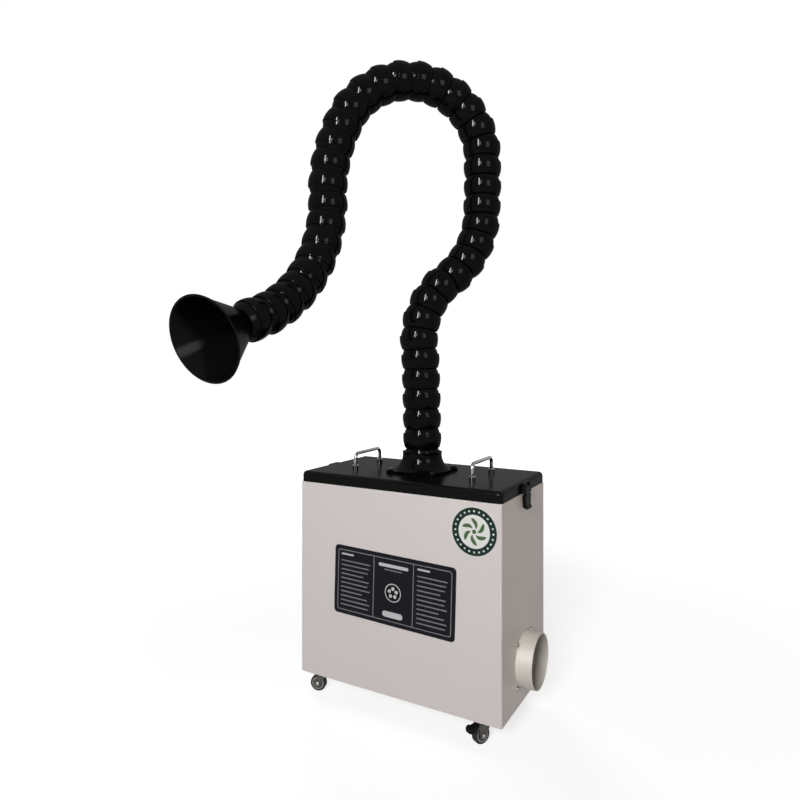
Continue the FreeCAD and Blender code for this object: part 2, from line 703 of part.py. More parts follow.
def power_inlet():
    """An appliance inlet with three flat pins in its cavity."""
    plate = rounded_block(INLET_PLATE_WIDTH, INLET_PLATE_HEIGHT, PLATE_CORNER, 0, INLET_PLATE_THICKNESS)
    body = block(INLET_BODY_WIDTH, INLET_BODY_HEIGHT, INLET_BODY_DEPTH, 0, 0, -INLET_BODY_DEPTH)
    wide = INLET_CAVITY_WIDTH / 2
    high = INLET_CAVITY_HEIGHT / 2
    bevel = INLET_CAVITY_BEVEL
    floor = INLET_PLATE_THICKNESS - INLET_CAVITY_DEPTH
    outline = (
        V(-wide, -high, floor),
        V(wide, -high, floor),
        V(wide, high - bevel, floor),
        V(wide - bevel, high, floor),
        V(bevel - wide, high, floor),
        V(-wide, high - bevel, floor),
    )
    cavity = prism(outline, UP * (INLET_CAVITY_DEPTH + OVERRUN))
    shape = plate.fuse(body).cut(cavity)
    pin_low = floor - OVERRUN
    for side in (-1, 0, 1):
        x = side * INLET_PIN_SPACING
        y = -INLET_PIN_STEP if side else INLET_PIN_STEP
        pin = block(INLET_PIN_WIDTH, INLET_PIN_HEIGHT, INLET_PIN_LENGTH + OVERRUN, x, y, pin_low)
        shape = shape.fuse(pin)
    return facing_back(shape).rotated(ORIGIN, BACK, HALF_TURN).translated(back_place(POWER_INLET_RISE))


def switch_bezel():
    """The switch's snap-in housing, open in front for the rocker."""
    flange = rounded_block(SWITCH_WIDTH, SWITCH_HEIGHT, PLATE_CORNER / 2, 0, SWITCH_FLANGE)
    body = block(SWITCH_BODY_WIDTH, SWITCH_BODY_HEIGHT, SWITCH_BODY_DEPTH, 0, 0, -SWITCH_BODY_DEPTH)
    pocket_low = SWITCH_FLANGE - SWITCH_POCKET_DEPTH
    pocket_height = SWITCH_POCKET_DEPTH + OVERRUN
    pocket = block(SWITCH_POCKET_WIDTH, SWITCH_POCKET_HEIGHT, pocket_height, 0, 0, pocket_low)
    hole_radius = ROCKER_TRUNNION + ROCKER_TRUNNION_FIT
    hole_half = SWITCH_POCKET_WIDTH / 2 + ROCKER_TRUNNION_REACH + ROCKER_SIDE_GAP
    hole = Part.makeCylinder(hole_radius, 2 * hole_half, RIGHT * -hole_half, RIGHT)
    shape = flange.fuse(body).cut([pocket, hole])
    return facing_back(shape).translated(back_place(SWITCH_RISE))


def power_rocker():
    """The rocker, tilted to its off side."""
    half = ROCKER_LENGTH / 2
    foot = half * ROCKER_FOOT_SHARE
    width = SWITCH_POCKET_WIDTH - 2 * ROCKER_SIDE_GAP
    outline = (
        V(-width / 2, -half, 0),
        V(-width / 2, -half, ROCKER_RISE),
        V(-width / 2, 0, ROCKER_RISE - ROCKER_DIP),
        V(-width / 2, half, ROCKER_RISE),
        V(-width / 2, half, 0),
        V(-width / 2, foot, -ROCKER_DEPTH),
        V(-width / 2, -foot, -ROCKER_DEPTH),
    )
    body = prism(outline, RIGHT * width)
    pin_half = SWITCH_POCKET_WIDTH / 2 + ROCKER_TRUNNION_REACH
    pins = Part.makeCylinder(ROCKER_TRUNNION, 2 * pin_half, RIGHT * -pin_half, RIGHT)
    rocker = body.fuse(pins).rotated(ORIGIN, RIGHT, ROCKER_TILT_ANGLE)
    return facing_back(rocker).translated(back_place(SWITCH_RISE))


def speed_control():
    """The speed control's body inside the panel, with its bush and shaft."""
    body = Part.makeCylinder(POT_RADIUS, POT_DEPTH, UP * (-SHEET - POT_DEPTH))
    bush = Part.makeCylinder(POT_BUSH_RADIUS, SHEET + POT_BUSH_REACH, UP * -SHEET)
    shaft = Part.makeCylinder(POT_SHAFT_RADIUS, POT_SHAFT_REACH)
    return facing_back(body.fuse(bush).fuse(shaft)).translated(back_place(KNOB_RISE))


def speed_knob():
    """A fluted knob with a pointer groove, at the low end of its turn."""
    knob = Part.makeCone(KNOB_RADIUS, KNOB_TOP_RADIUS, KNOB_HEIGHT, UP * KNOB_LIFT)
    flutes = []
    for flute in range(KNOB_FLUTE_COUNT):
        turn = (flute + KNOB_FLUTE_PHASE_SHARE) * FULL_TURN / KNOB_FLUTE_COUNT
        foot = polar(KNOB_RADIUS + KNOB_FLUTE_RADIUS / 2, turn)
        flutes.append(Part.makeCylinder(KNOB_FLUTE_RADIUS, KNOB_HEIGHT - KNOB_CAP, foot))
    relief_height = POT_BUSH_REACH + KNOB_LIFT
    relief = Part.makeCylinder(POT_BUSH_RADIUS + KNOB_LIFT, relief_height)
    bore = Part.makeCylinder(POT_SHAFT_RADIUS + KNOB_SHAFT_FIT, POT_SHAFT_REACH + KNOB_LIFT)
    top = KNOB_LIFT + KNOB_HEIGHT
    depth = KNOB_MARK_DEPTH
    mark = block(KNOB_MARK_WIDTH, KNOB_TOP_RADIUS, depth + OVERRUN, 0, KNOB_TOP_RADIUS / 2, top - depth)
    mark = mark.rotated(ORIGIN, UP, KNOB_MARK_ANGLE)
    shape = knob.cut(flutes + [relief, bore, mark])
    return facing_back(shape).translated(back_place(KNOB_RISE))


# Lid

def lid_dome(inset, low):
    """The lid's outer form, or with an inset the room inside it, from a level up."""
    width = CABINET_WIDTH - 2 * inset
    depth = CABINET_DEPTH - 2 * inset
    top = LID_Z - inset
    form = rounded_block(width, depth, LID_CORNER - inset, low, top - low)
    brims = [edge for edge in form.Edges if edge.BoundBox.ZMin > top - SHEET]
    return form.makeFillet(LID_EDGE - inset, brims)


def lid():
    """A black sheet-steel lid with rounded edges and an inner rim that presses the seal."""
    shape = lid_dome(0, TOP_Z).cut(lid_dome(SHEET, TOP_Z - OVERRUN))
    rim_z = TOP_Z + GASKET_HEIGHT
    rim_width = CABINET_WIDTH - SHEET
    rim_depth = CABINET_DEPTH - SHEET
    rim = rounded_block(rim_width, rim_depth, LID_CORNER - SHEET / 2, rim_z, SHEET)
    rim = rim.cut(block(rim_width - 2 * LID_RIM, rim_depth - 2 * LID_RIM, SHEET, 0, 0, rim_z))
    shape = shape.fuse(rim)
    through = 2 * SHEET + 2 * OVERRUN
    start = LID_Z - SHEET - OVERRUN
    cuts = [Part.makeCylinder(ARM_BORE, through, UP * start)]
    for place in corners(FLANGE_BOLT_OFFSET, FLANGE_BOLT_OFFSET):
        cuts.append(Part.makeCylinder(BOLT_RADIUS + BOLT_HOLE_GAP, through, place + UP * start))
    for place in corners(HANDLE_OFFSET, HANDLE_SPACING / 2):
        cuts.append(Part.makeCylinder(HANDLE_SCREW_RADIUS + BOLT_HOLE_GAP, through, place + UP * start))
    return shape.cut(cuts)


def bow_handle(side):
    """A bent steel rod that stands on the lid, tapped at both feet."""
    x = side * HANDLE_OFFSET
    half = HANDLE_SPACING / 2
    top = LID_Z + HANDLE_RISE
    bend = HANDLE_BEND
    inset = bend * (1 - math.cos(math.radians(QUARTER_TURN / 2)))
    edges = [
        Part.makeLine(V(x, -half, LID_Z), V(x, -half, top - bend)),
        arc(V(x, -half, top - bend), V(x, inset - half, top - inset), V(x, bend - half, top)),
        Part.makeLine(V(x, bend - half, top), V(x, half - bend, top)),
        arc(V(x, half - bend, top), V(x, half - inset, top - inset), V(x, half, top - bend)),
        Part.makeLine(V(x, half, top - bend), V(x, half, LID_Z)),
    ]
    section = Part.Wire(Part.makeCircle(HANDLE_ROD_RADIUS, V(x, -half, LID_Z), UP))
    rod = Part.Wire(edges).makePipeShell([section], True, False)
    tap = Part.makeCylinder(HANDLE_SCREW_RADIUS + THREAD_FIT, HANDLE_SCREW_REACH + 2 * OVERRUN)
    return rod.cut([tap.translated(V(x, y, LID_Z - OVERRUN)) for y in (-half, half)])


def handle_ferrules():
    """Four turned sleeves round the handles' feet."""
    bore = HANDLE_ROD_RADIUS + FERRULE_FIT
    sleeve = turned_points((
        (bore, LID_Z),
        (FERRULE_RADIUS, LID_Z),
        (FERRULE_RADIUS, LID_Z + FERRULE_HEIGHT - FERRULE_BEVEL),
        (FERRULE_RADIUS - FERRULE_BEVEL, LID_Z + FERRULE_HEIGHT),
        (bore, LID_Z + FERRULE_HEIGHT),
    ))
    return [sleeve.translated(place) for place in corners(HANDLE_OFFSET, HANDLE_SPACING / 2)]


def handle_screws():
    """Four screws from under the lid into the handles' feet."""
    under = LID_Z - SHEET
    head_low = UP * (under - HANDLE_SCREW_HEAD_HEIGHT)
    head = Part.makeCylinder(HANDLE_SCREW_HEAD, HANDLE_SCREW_HEAD_HEIGHT, head_low)
    shank = Part.makeCylinder(HANDLE_SCREW_RADIUS, SHEET + HANDLE_SCREW_REACH, UP * under)
    screw = head.fuse(shank)
    return [screw.translated(place) for place in corners(HANDLE_OFFSET, HANDLE_SPACING / 2)]


# Latches

def latch_axis():
    """The middle of the right latch's pin."""
    return V(END_X + LATCH_PIN_OUT, 0, TOP_Z + LATCH_PIN_RISE)


def latch_brackets():
    """Two blocks on the lid's ends, each with two ears that carry a lever's pin."""
    top = TOP_Z + LATCH_HEIGHT
    outer = END_X + LATCH_REACH
    outline = (
        V(END_X, 0, TOP_Z),
        V(END_X, 0, top),
        V(outer - LATCH_BEVEL, 0, top),
        V(outer, 0, top - LATCH_BEVEL),
        V(outer, 0, TOP_Z),
    )
    body = prism(outline, BACK * LATCH_WIDTH).translated(BACK * (-LATCH_WIDTH / 2))
    axis = latch_axis()
    room = LATCH_BARREL + LATCH_CLEARANCE
    slot_depth = LATCH_REACH + OVERRUN
    slot_middle = END_X + slot_depth / 2
    below = block(slot_depth, LATCH_SLOT, LATCH_PIN_RISE + OVERRUN, slot_middle, 0, TOP_Z - OVERRUN)
    well = Part.makeCylinder(room, LATCH_SLOT, axis - BACK * (LATCH_SLOT / 2), BACK)
    above = block(slot_depth, LATCH_SLOT, LATCH_HEIGHT, axis.x + slot_depth / 2, 0, axis.z)
    bore = Part.makeCylinder(LATCH_PIN_RADIUS, LATCH_WIDTH + 2 * OVERRUN, axis, BACK)
    bore = bore.translated(BACK * (-LATCH_WIDTH / 2 - OVERRUN))
    return both_ends(body.cut([below, well, above, bore]))


def latch_pins():
    """The two pins that the levers turn on."""
    axis = latch_axis()
    return both_ends(Part.makeCylinder(LATCH_PIN_RADIUS, LATCH_WIDTH, axis - BACK * (LATCH_WIDTH / 2), BACK))


def latch_lever():
    """The right lever: a barrel on the pin, a tapered plate with two side ribs and a curled tip."""
    axis = latch_axis()
    neck_width = LATCH_SLOT - 2 * LATCH_SLOT_FIT
    inner = axis.x + LATCH_BARREL - LATCH_LEVER_THICKNESS
    outer = axis.x + LATCH_BARREL
    barrel = Part.makeCylinder(LATCH_BARREL, neck_width, axis - BACK * (neck_width / 2), BACK)
    shoulder = axis.z - LATCH_SHOULDER_DROP
    tip = axis.z - LATCH_LEVER_DROP
    neck = block(LATCH_LEVER_THICKNESS, neck_width, LATCH_SHOULDER_DROP, (inner + outer) / 2, 0, shoulder)
    plate_outline = (
        V(inner, -LATCH_WIDTH / 2, shoulder),
        V(inner, LATCH_WIDTH / 2, shoulder),
        V(inner, LATCH_TIP_WIDTH / 2, tip),
        V(inner, -LATCH_TIP_WIDTH / 2, tip),
    )
    plate = prism(plate_outline, RIGHT * LATCH_LEVER_THICKNESS)
    curl_half = LATCH_TIP_WIDTH / 2
    curl_outline = (
        V(inner, -curl_half, tip),
        V(outer, -curl_half, tip + LATCH_CURL),
        V(outer + LATCH_CURL / 2, -curl_half, tip),
        V(outer + LATCH_CURL / 2, -curl_half, tip - LATCH_CURL / 2),
        V(inner + LATCH_CURL / 2, -curl_half, tip - LATCH_CURL / 2),
    )
    curl = prism(curl_outline, BACK * LATCH_TIP_WIDTH)
    claw_x = END_X + KEEPER_THICKNESS + KEEPER_LIP + LATCH_CLEARANCE
    claw_top = keeper_low() - LATCH_CLEARANCE
    claw_low = claw_top - LATCH_CLAW_HEIGHT
    claw_end = inner + OVERRUN
    claw = block(claw_end - claw_x, KEEPER_WIDTH, LATCH_CLAW_HEIGHT, (claw_end + claw_x) / 2, 0, claw_low)
    rib_x = END_X + LATCH_RIB_GAP
    rib_outline = (
        V(rib_x, LATCH_WIDTH / 2 - LATCH_RIB, shoulder),
        V(rib_x, LATCH_WIDTH / 2, shoulder),
        V(rib_x, LATCH_TIP_WIDTH / 2, tip),
        V(rib_x, LATCH_TIP_WIDTH / 2 - LATCH_RIB, tip),
    )
    rib = prism(rib_outline, RIGHT * (claw_end - rib_x))
    ribs = [rib, rib.mirror(ORIGIN, BACK)]
    lever = barrel.multiFuse([neck, plate, curl, claw] + ribs).removeSplitter()
    bore_radius = LATCH_PIN_RADIUS + LATCH_PIN_FIT
    return lever.cut(Part.makeCylinder(bore_radius, LATCH_WIDTH, axis - BACK * (LATCH_WIDTH / 2), BACK))


def keeper_low():
    """The lower edge of a latch keeper."""
    return TOP_Z + LATCH_PIN_RISE - LATCH_SHOULDER_DROP - KEEPER_HEIGHT - KEEPER_LIP_HEIGHT


def latch_keepers():
    """Two strike plates with a lip at the lower edge, under the levers."""
    low = keeper_low()
    plate = block(KEEPER_THICKNESS, KEEPER_WIDTH, KEEPER_HEIGHT, END_X + KEEPER_THICKNESS / 2, 0, low)
    lip_x = END_X + KEEPER_THICKNESS + KEEPER_LIP / 2
    lip = block(KEEPER_LIP, KEEPER_WIDTH, KEEPER_LIP_HEIGHT, lip_x, 0, low)
    return both_ends(plate.fuse(lip).removeSplitter())


# Arm

def ball_outline():
    """Outline edges of a link's ball, from its open rim up to its neck, inside and outside."""
    rim_inside = on_sphere(BALL_BORE, -BALL_DROP)
    rim_outside = on_sphere(BALL_RADIUS, -BALL_DROP)
    return [
        Part.makeLine(rim_inside, rim_outside),
        sphere_arc(BALL_RADIUS, -BALL_DROP, NECK_HEIGHT),
    ]


def lip_edges(centre, reach, radius):
    """The outer point of a socket's lip, and the rounded edge from there to the bore."""
    outside = V(radius - LIP_TAPER, 0, centre + reach)
    inside = on_sphere(SOCKET_RADIUS, reach, centre)
    middle = V((outside.x + inside.x) / 2, 0, outside.z + LIP_ROUND)
    return outside, [arc(outside, middle, inside)]


def arm_link():
    """One link: a hollow ball below, a barrel-shaped socket with a lip above."""
    neck = on_sphere(BALL_RADIUS, NECK_HEIGHT)
    shoulder = V(LINK_RADIUS * SHOULDER_SHARE, 0, NECK_HEIGHT + SHOULDER_RISE)
    widest = V(LINK_RADIUS, 0, LINK_PITCH + LIP_REACH * WIDEST_SHARE)
    lip, lip_arc = lip_edges(LINK_PITCH, LIP_REACH, LINK_RADIUS)
    edges = ball_outline() + lip_arc
    edges.append(Part.makeLine(neck, shoulder))
    edges.append(arc(shoulder, widest, lip))
    edges.append(sphere_arc(SOCKET_RADIUS, THROAT_HEIGHT - LINK_PITCH, LIP_REACH, LINK_PITCH))
    edges.append(sphere_arc(BALL_BORE, -BALL_DROP, THROAT_HEIGHT))
    return turned(edges)


def bend_axis(plane):
    """The level axis that a joint bends about, for an upright plane turned from the -X direction."""
    angle = math.radians(plane)
    return V(math.sin(angle), -math.cos(angle), 0)


def arm_joints():
    """The centre of every ball joint and the direction of the link, or hood, that starts there."""
    joints = []
    centre = UP * ARM_Z
    heading = UP
    stretches = (
        (LOOP_PLANE_ANGLE, LOOP_LINK_COUNTS, LOOP_BEND_ANGLES),
        (TAIL_PLANE_ANGLE, TAIL_LINK_COUNTS, TAIL_BEND_ANGLES),
    )
    for plane, counts, turns in stretches:
        for count, turn in zip(counts, turns):
            for _ in range(count):
                heading = FreeCAD.Rotation(bend_axis(plane), turn).multVec(heading)
                joints.append((centre, heading))
                centre = centre + heading * LINK_PITCH
    joints.append((centre, FreeCAD.Rotation(UP, HOOD_TURN_ANGLE).multVec(heading)))
    return joints


def placed(shape, joint):
    """Moves a piece made on the Z axis to a ball joint, pointing the way of its link."""
    centre, heading = joint
    moved = shape.copy()
    moved.Placement = FreeCAD.Placement(centre, FreeCAD.Rotation(UP, heading))
    return moved


def arm_groups():
    """The arm's links, a few to a group, from the base to the hood."""
    link = arm_link()
    links = [placed(link, joint) for joint in arm_joints()[:-1]]
    starts = range(0, len(links), LINKS_PER_GROUP)
    return [links[start:start + LINKS_PER_GROUP] for start in starts]


def hood():
    """A conical hood with a thickened rim, on a ball like those of the links."""
    cone_low = NECK_HEIGHT + HOOD_NECK_RISE
    neck = on_sphere(BALL_RADIUS, NECK_HEIGHT)
    neck_inside = HOOD_NECK_RADIUS - HOOD_WALL
    bore_top = math.sqrt(BALL_BORE ** 2 - neck_inside ** 2)
    mouth = HOOD_MOUTH_RADIUS
    rim_low = HOOD_LENGTH - HOOD_RIM_WIDTH
    rise = HOOD_LENGTH - cone_low
    taper = (mouth - HOOD_NECK_RADIUS) / rise
    points = [
        neck,
        V(HOOD_NECK_RADIUS, 0, cone_low),
        V(mouth - taper * HOOD_RIM_WIDTH, 0, rim_low),
        V(mouth - taper * HOOD_RIM_WIDTH + HOOD_RIM_STEP, 0, rim_low),
        V(mouth + HOOD_RIM_STEP, 0, HOOD_LENGTH),
        V(mouth - HOOD_WALL, 0, HOOD_LENGTH),
        V(neck_inside, 0, bore_top),
    ]
    edges = ball_outline()
    for start, end in zip(points, points[1:]):
        edges.append(Part.makeLine(start, end))
    edges.append(sphere_arc(BALL_BORE, -BALL_DROP, bore_top))
    return placed(turned(edges), arm_joints()[-1])


def arm_base_flange():
    """A square plate with a flared bell that ends in the arm's first socket."""
    centre = SOCKET_HEIGHT
    throat = -math.sqrt(SOCKET_RADIUS ** 2 - ARM_BORE ** 2)
    lip, lip_arc = lip_edges(centre, FLANGE_LIP_REACH, FLANGE_LIP_RADIUS)
    foot = V(FLANGE_FOOT_RADIUS, 0, FLANGE_PLATE)
    waist = foot + (lip - foot) * FLANGE_WAIST_SHARE
    waist.x = lip.x + (foot.x - lip.x) * FLANGE_WAIST_SHARE
    bore_top = V(ARM_BORE, 0, centre + throat)
    edges = lip_arc + [
        arc(lip, waist, foot),
        Part.makeLine(foot, V(FLANGE_FOOT_RADIUS, 0, 0)),
        Part.makeLine(V(FLANGE_FOOT_RADIUS, 0, 0), V(ARM_BORE, 0, 0)),
        Part.makeLine(V(ARM_BORE, 0, 0), bore_top),
        sphere_arc(SOCKET_RADIUS, throat, FLANGE_LIP_REACH, centre),
    ]
    bell = turned(edges)
    plate = rounded_block(FLANGE_SIDE, FLANGE_SIDE, FLANGE_CORNER, 0, FLANGE_PLATE)
    through = FLANGE_PLATE + 2 * OVERRUN
    plate = plate.cut(Part.makeCylinder(ARM_BORE, through, UP * -OVERRUN))
    holes = []
    for place in corners(FLANGE_BOLT_OFFSET, FLANGE_BOLT_OFFSET):
        holes.append(Part.makeCylinder(BOLT_RADIUS + BOLT_HOLE_GAP, through, place - UP * OVERRUN))
    return bell.fuse(plate).cut(holes).translated(UP * LID_Z)


def flange_bolts():
    """Four hexagon bolts through flange and lid, with their nuts under the lid."""
    under = LID_Z - SHEET
    top = LID_Z + FLANGE_PLATE
    head = hexagon(BOLT_HEAD_RADIUS, top, BOLT_HEAD_HEIGHT)
    tail = NUT_HEIGHT + BOLT_TAIL
    shank = Part.makeCylinder(BOLT_RADIUS, FLANGE_PLATE + SHEET + tail, UP * (under - tail))
    bolt = head.fuse(shank)
    nut_low = under - NUT_HEIGHT
    bore = Part.makeCylinder(BOLT_RADIUS + THREAD_FIT, NUT_HEIGHT + 2 * OVERRUN, UP * (nut_low - OVERRUN))
    nut = hexagon(BOLT_HEAD_RADIUS, nut_low, NUT_HEIGHT).cut(bore)
    places = corners(FLANGE_BOLT_OFFSET, FLANGE_BOLT_OFFSET)
    return [piece.translated(place) for place in places for piece in (bolt, nut)]


# Casters, made under the origin with the wheel trailing to +X

def caster_place(name):
    """Where a caster's swivel axis stands on the floor."""
    side_x, side_y = CASTER_SIDES[name]
    return V(side_x * CASTER_OFFSET_X, side_y * CASTER_OFFSET_Y, 0)


def at_caster(shape, name):
    """Turns a piece to the way that its caster trails and moves it to its corner."""
    return shape.rotated(ORIGIN, UP, CASTER_TURNS[name]).translated(caster_place(name))


def caster_plates():
    """Four top plates with raceway and riveted kingpin."""
    plate_low = CASTER_HEIGHT - CASTER_PLATE
    plate = rounded_block(CASTER_PLATE_SIDE, CASTER_PLATE_SIDE, CASTER_PLATE_CORNER, plate_low, CASTER_PLATE)
    race = Part.makeCylinder(RACE_RADIUS, RACE_HEIGHT, UP * (plate_low - RACE_HEIGHT))
    head_top = CROWN_TOP - FORK_SHEET - SWIVEL_GAP
    pin = Part.makeCylinder(KINGPIN_RADIUS, plate_low - head_top, UP * head_top)
    head = Part.makeCylinder(KINGPIN_HEAD_RADIUS, KINGPIN_HEAD_HEIGHT, UP * (head_top - KINGPIN_HEAD_HEIGHT))
    shape = plate.multiFuse([race, pin, head])
    return [shape.translated(caster_place(name)) for name in CASTER_NAMES]


def pedal_pivot():
    """The middle of the brake pedal's pivot."""
    return V(WHEEL_TRAIL + PEDAL_PIVOT_OUT, 0, 2 * WHEEL_RADIUS + PEDAL_PIVOT_GAP)


def fork_leg(braked):
    """One side of the fork, from the crown down round the axle."""
    top = CROWN_TOP
    toe = FORK_TOE
    axle = V(WHEEL_TRAIL, 0, WHEEL_RADIUS)
    heel = WHEEL_TRAIL + PEDAL_PIVOT_OUT + 2 * PEDAL_BARREL if braked else FORK_CROWN_RADIUS
    edges = [
        Part.makeLine(V(-FORK_CROWN_RADIUS / 2, 0, top), V(heel, 0, top)),
        Part.makeLine(V(heel, 0, top), V(heel, 0, top - toe)),
        Part.makeLine(V(heel, 0, top - toe), axle + RIGHT * toe),
        arc(axle + RIGHT * toe, axle - UP * toe, axle - RIGHT * toe),
        Part.makeLine(axle - RIGHT * toe, V(-FORK_CROWN_RADIUS / 2, 0, top)),
    ]
    return Part.Face(Part.Wire(edges)).extrude(BACK * FORK_SHEET)


def caster_fork(name):
    """A stamped fork with its crown and the axle that is riveted through it."""
    braked = name in BRAKED_CASTERS
    top = CROWN_TOP
    leg = fork_leg(braked)
    crown = Part.makeCylinder(FORK_CROWN_RADIUS, FORK_SHEET, UP * (top - FORK_SHEET))
    legs = [leg.translated(BACK * WHEEL_INSIDE), leg.translated(BACK * -FORK_OUTSIDE)]
    axle = V(WHEEL_TRAIL, -FORK_OUTSIDE, WHEEL_RADIUS)
    through = 2 * FORK_OUTSIDE + 2 * OVERRUN
    eye_low = UP * (top - FORK_SHEET - OVERRUN)
    cuts = [
        Part.makeCylinder(KINGPIN_RADIUS + KINGPIN_FIT, FORK_SHEET + 2 * OVERRUN, eye_low),
        Part.makeCylinder(AXLE_RADIUS, through, axle - BACK * OVERRUN, BACK),
    ]
    if braked:
        pin_start = pedal_pivot() - BACK * (FORK_OUTSIDE + OVERRUN)
        cuts.append(Part.makeCylinder(PEDAL_PIN_RADIUS + PEDAL_PIN_FIT, through, pin_start, BACK))
    fork = crown.multiFuse(legs).cut(cuts)
    pin = Part.makeCylinder(AXLE_RADIUS, 2 * FORK_OUTSIDE, axle, BACK)
    near = Part.makeCylinder(AXLE_HEAD_RADIUS, AXLE_HEAD, axle - BACK * AXLE_HEAD, BACK)
    far = Part.makeCylinder(AXLE_HEAD_RADIUS, AXLE_HEAD, axle + BACK * (2 * FORK_OUTSIDE), BACK)
    return [at_caster(fork, name), at_caster(pin.multiFuse([near, far]), name)]


def at_axle(shape, name):
    """Lays a piece made on the Z axis along a caster's axle."""
    laid = facing_back(shape).translated(V(WHEEL_TRAIL, 0, WHEEL_RADIUS))
    return at_caster(laid, name)


def wheel_hub(name):
    """The wheel's core, dished on both faces, with a boss round the axle."""
    half = WHEEL_WIDTH / 2
    dish = half - WHEEL_RECESS
    outside = WHEEL_RADIUS - TYRE_THICKNESS
    bore = AXLE_RADIUS + AXLE_FIT
    inner_rim = outside - HUB_RIM
    shape = turned_points((
        (bore, -half),
        (HUB_BOSS_RADIUS, -half),
        (HUB_BOSS_RADIUS, -dish),
        (inner_rim, -dish),
        (inner_rim, -half),
        (outside, -half),
        (outside, half),
        (inner_rim, half),
        (inner_rim, dish),
        (HUB_BOSS_RADIUS, dish),
        (HUB_BOSS_RADIUS, half),
        (bore, half),
    ))
    return at_axle(shape, name)


def wheel_tyre(name):
    """A rubber tyre with rounded shoulders, moulded on the core."""
    half = WHEEL_WIDTH / 2
    inside = WHEEL_RADIUS - TYRE_THICKNESS
    ring = turned_points((
        (inside, -half),
        (WHEEL_RADIUS, -half),
        (WHEEL_RADIUS, half),
        (inside, half),
    ))
    shoulders = [edge for edge in ring.Edges if edge.Closed and edge.BoundBox.XMax > inside + TYRE_ROUND]
    return at_axle(ring.makeFillet(TYRE_ROUND, shoulders), name)


def brake_pedal(name):
    """A foot pedal between the fork's sides, with a wide tread beyond them."""
    pivot = pedal_pivot()
    half = WHEEL_INSIDE - PEDAL_SIDE_GAP
    barrel = Part.makeCylinder(PEDAL_BARREL, 2 * half, pivot - BACK * half, BACK)
    pin = Part.makeCylinder(PEDAL_PIN_RADIUS, 2 * FORK_OUTSIDE, pivot - BACK * FORK_OUTSIDE, BACK)
    root = pivot.x
    end = pivot.x + PEDAL_REACH
    top = pivot.z + PEDAL_BARREL
    arm_outline = (
        V(root, -half, top),
        V(root, -half, top - PEDAL_THICKNESS),
        V(end, -half, top - PEDAL_THICKNESS - PEDAL_FALL),
        V(end, -half, top - PEDAL_FALL),
    )
    arm = prism(arm_outline, BACK * (2 * half))
    tread_fall = PEDAL_FALL * PEDAL_TREAD_START / PEDAL_REACH
    tread_outline = (
        V(root + PEDAL_TREAD_START, 0, top - tread_fall),
        V(root + PEDAL_TREAD_START, 0, top - tread_fall - PEDAL_TREAD_THICKNESS),
        V(end, 0, top - PEDAL_FALL - PEDAL_TREAD_THICKNESS),
        V(end, 0, top - PEDAL_FALL),
    )
    tread = prism(tread_outline, BACK * PEDAL_TREAD_WIDTH).translated(BACK * (-PEDAL_TREAD_WIDTH / 2))
    end_edges = [edge for edge in tread.Edges if edge.BoundBox.XMin > end - OVERRUN]
    tread = tread.makeFillet(PEDAL_TREAD_CORNER, [edge for edge in end_edges if not along(edge, BACK)])
    return at_caster(barrel.multiFuse([pin, arm, tread]).removeSplitter(), name)


def write(name, pieces):
    """Writes one node, a single solid or a group of separate solids."""
    shape = Part.makeCompound(pieces) if isinstance(pieces, list) else pieces
    shape.exportStep("parts/" + name + ".step")


def main():
    os.makedirs("parts", exist_ok=True)
    makers = (
        cabinet_shell, base_pan, fan_deck, lid_gasket, carbon_filter, particle_filter, prefilter_mat,
        inlet_ring, fan_motor, motor_bracket, fan_impeller, outlet_collar, outlet_screws,
        power_inlet, switch_bezel, power_rocker, speed_control, speed_knob,
        lid, handle_ferrules, handle_screws, latch_brackets, latch_pins, latch_keepers,
        arm_base_flange, flange_bolts, hood, caster_plates,
    )
    for maker in makers:
        write(maker.__name__, maker())
    write("handle_left", bow_handle(-1))
    write("handle_right", bow_handle(1))
    lever = latch_lever()
    write("latch_lever_right", lever)
    write("latch_lever_left", lever.mirror(ORIGIN, RIGHT))
    for number, links in enumerate(arm_groups(), 1):
        write("arm_links_%02d" % number, links)
    for name in CASTER_NAMES:
        write("caster_fork_" + name, caster_fork(name))
        write("caster_hub_" + name, wheel_hub(name))
        write("caster_tyre_" + name, wheel_tyre(name))
    for name in BRAKED_CASTERS:
        write("brake_pedal_" + name, brake_pedal(name))


if __name__ == "__main__":
    main()
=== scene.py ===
"""Looks of a portable fume extractor: finishes for every sub-part, the front plate, the round sticker,
the soft filter mat and seal, thin trim and marks on wheels and controls, painted shade as black crosses
in the screws' recesses, and the studio."""

import json
import math

import bmesh
import bpy
from bpy.props import FloatProperty, FloatVectorProperty, IntProperty, PointerProperty
from mathutils import Matrix, Vector, noise


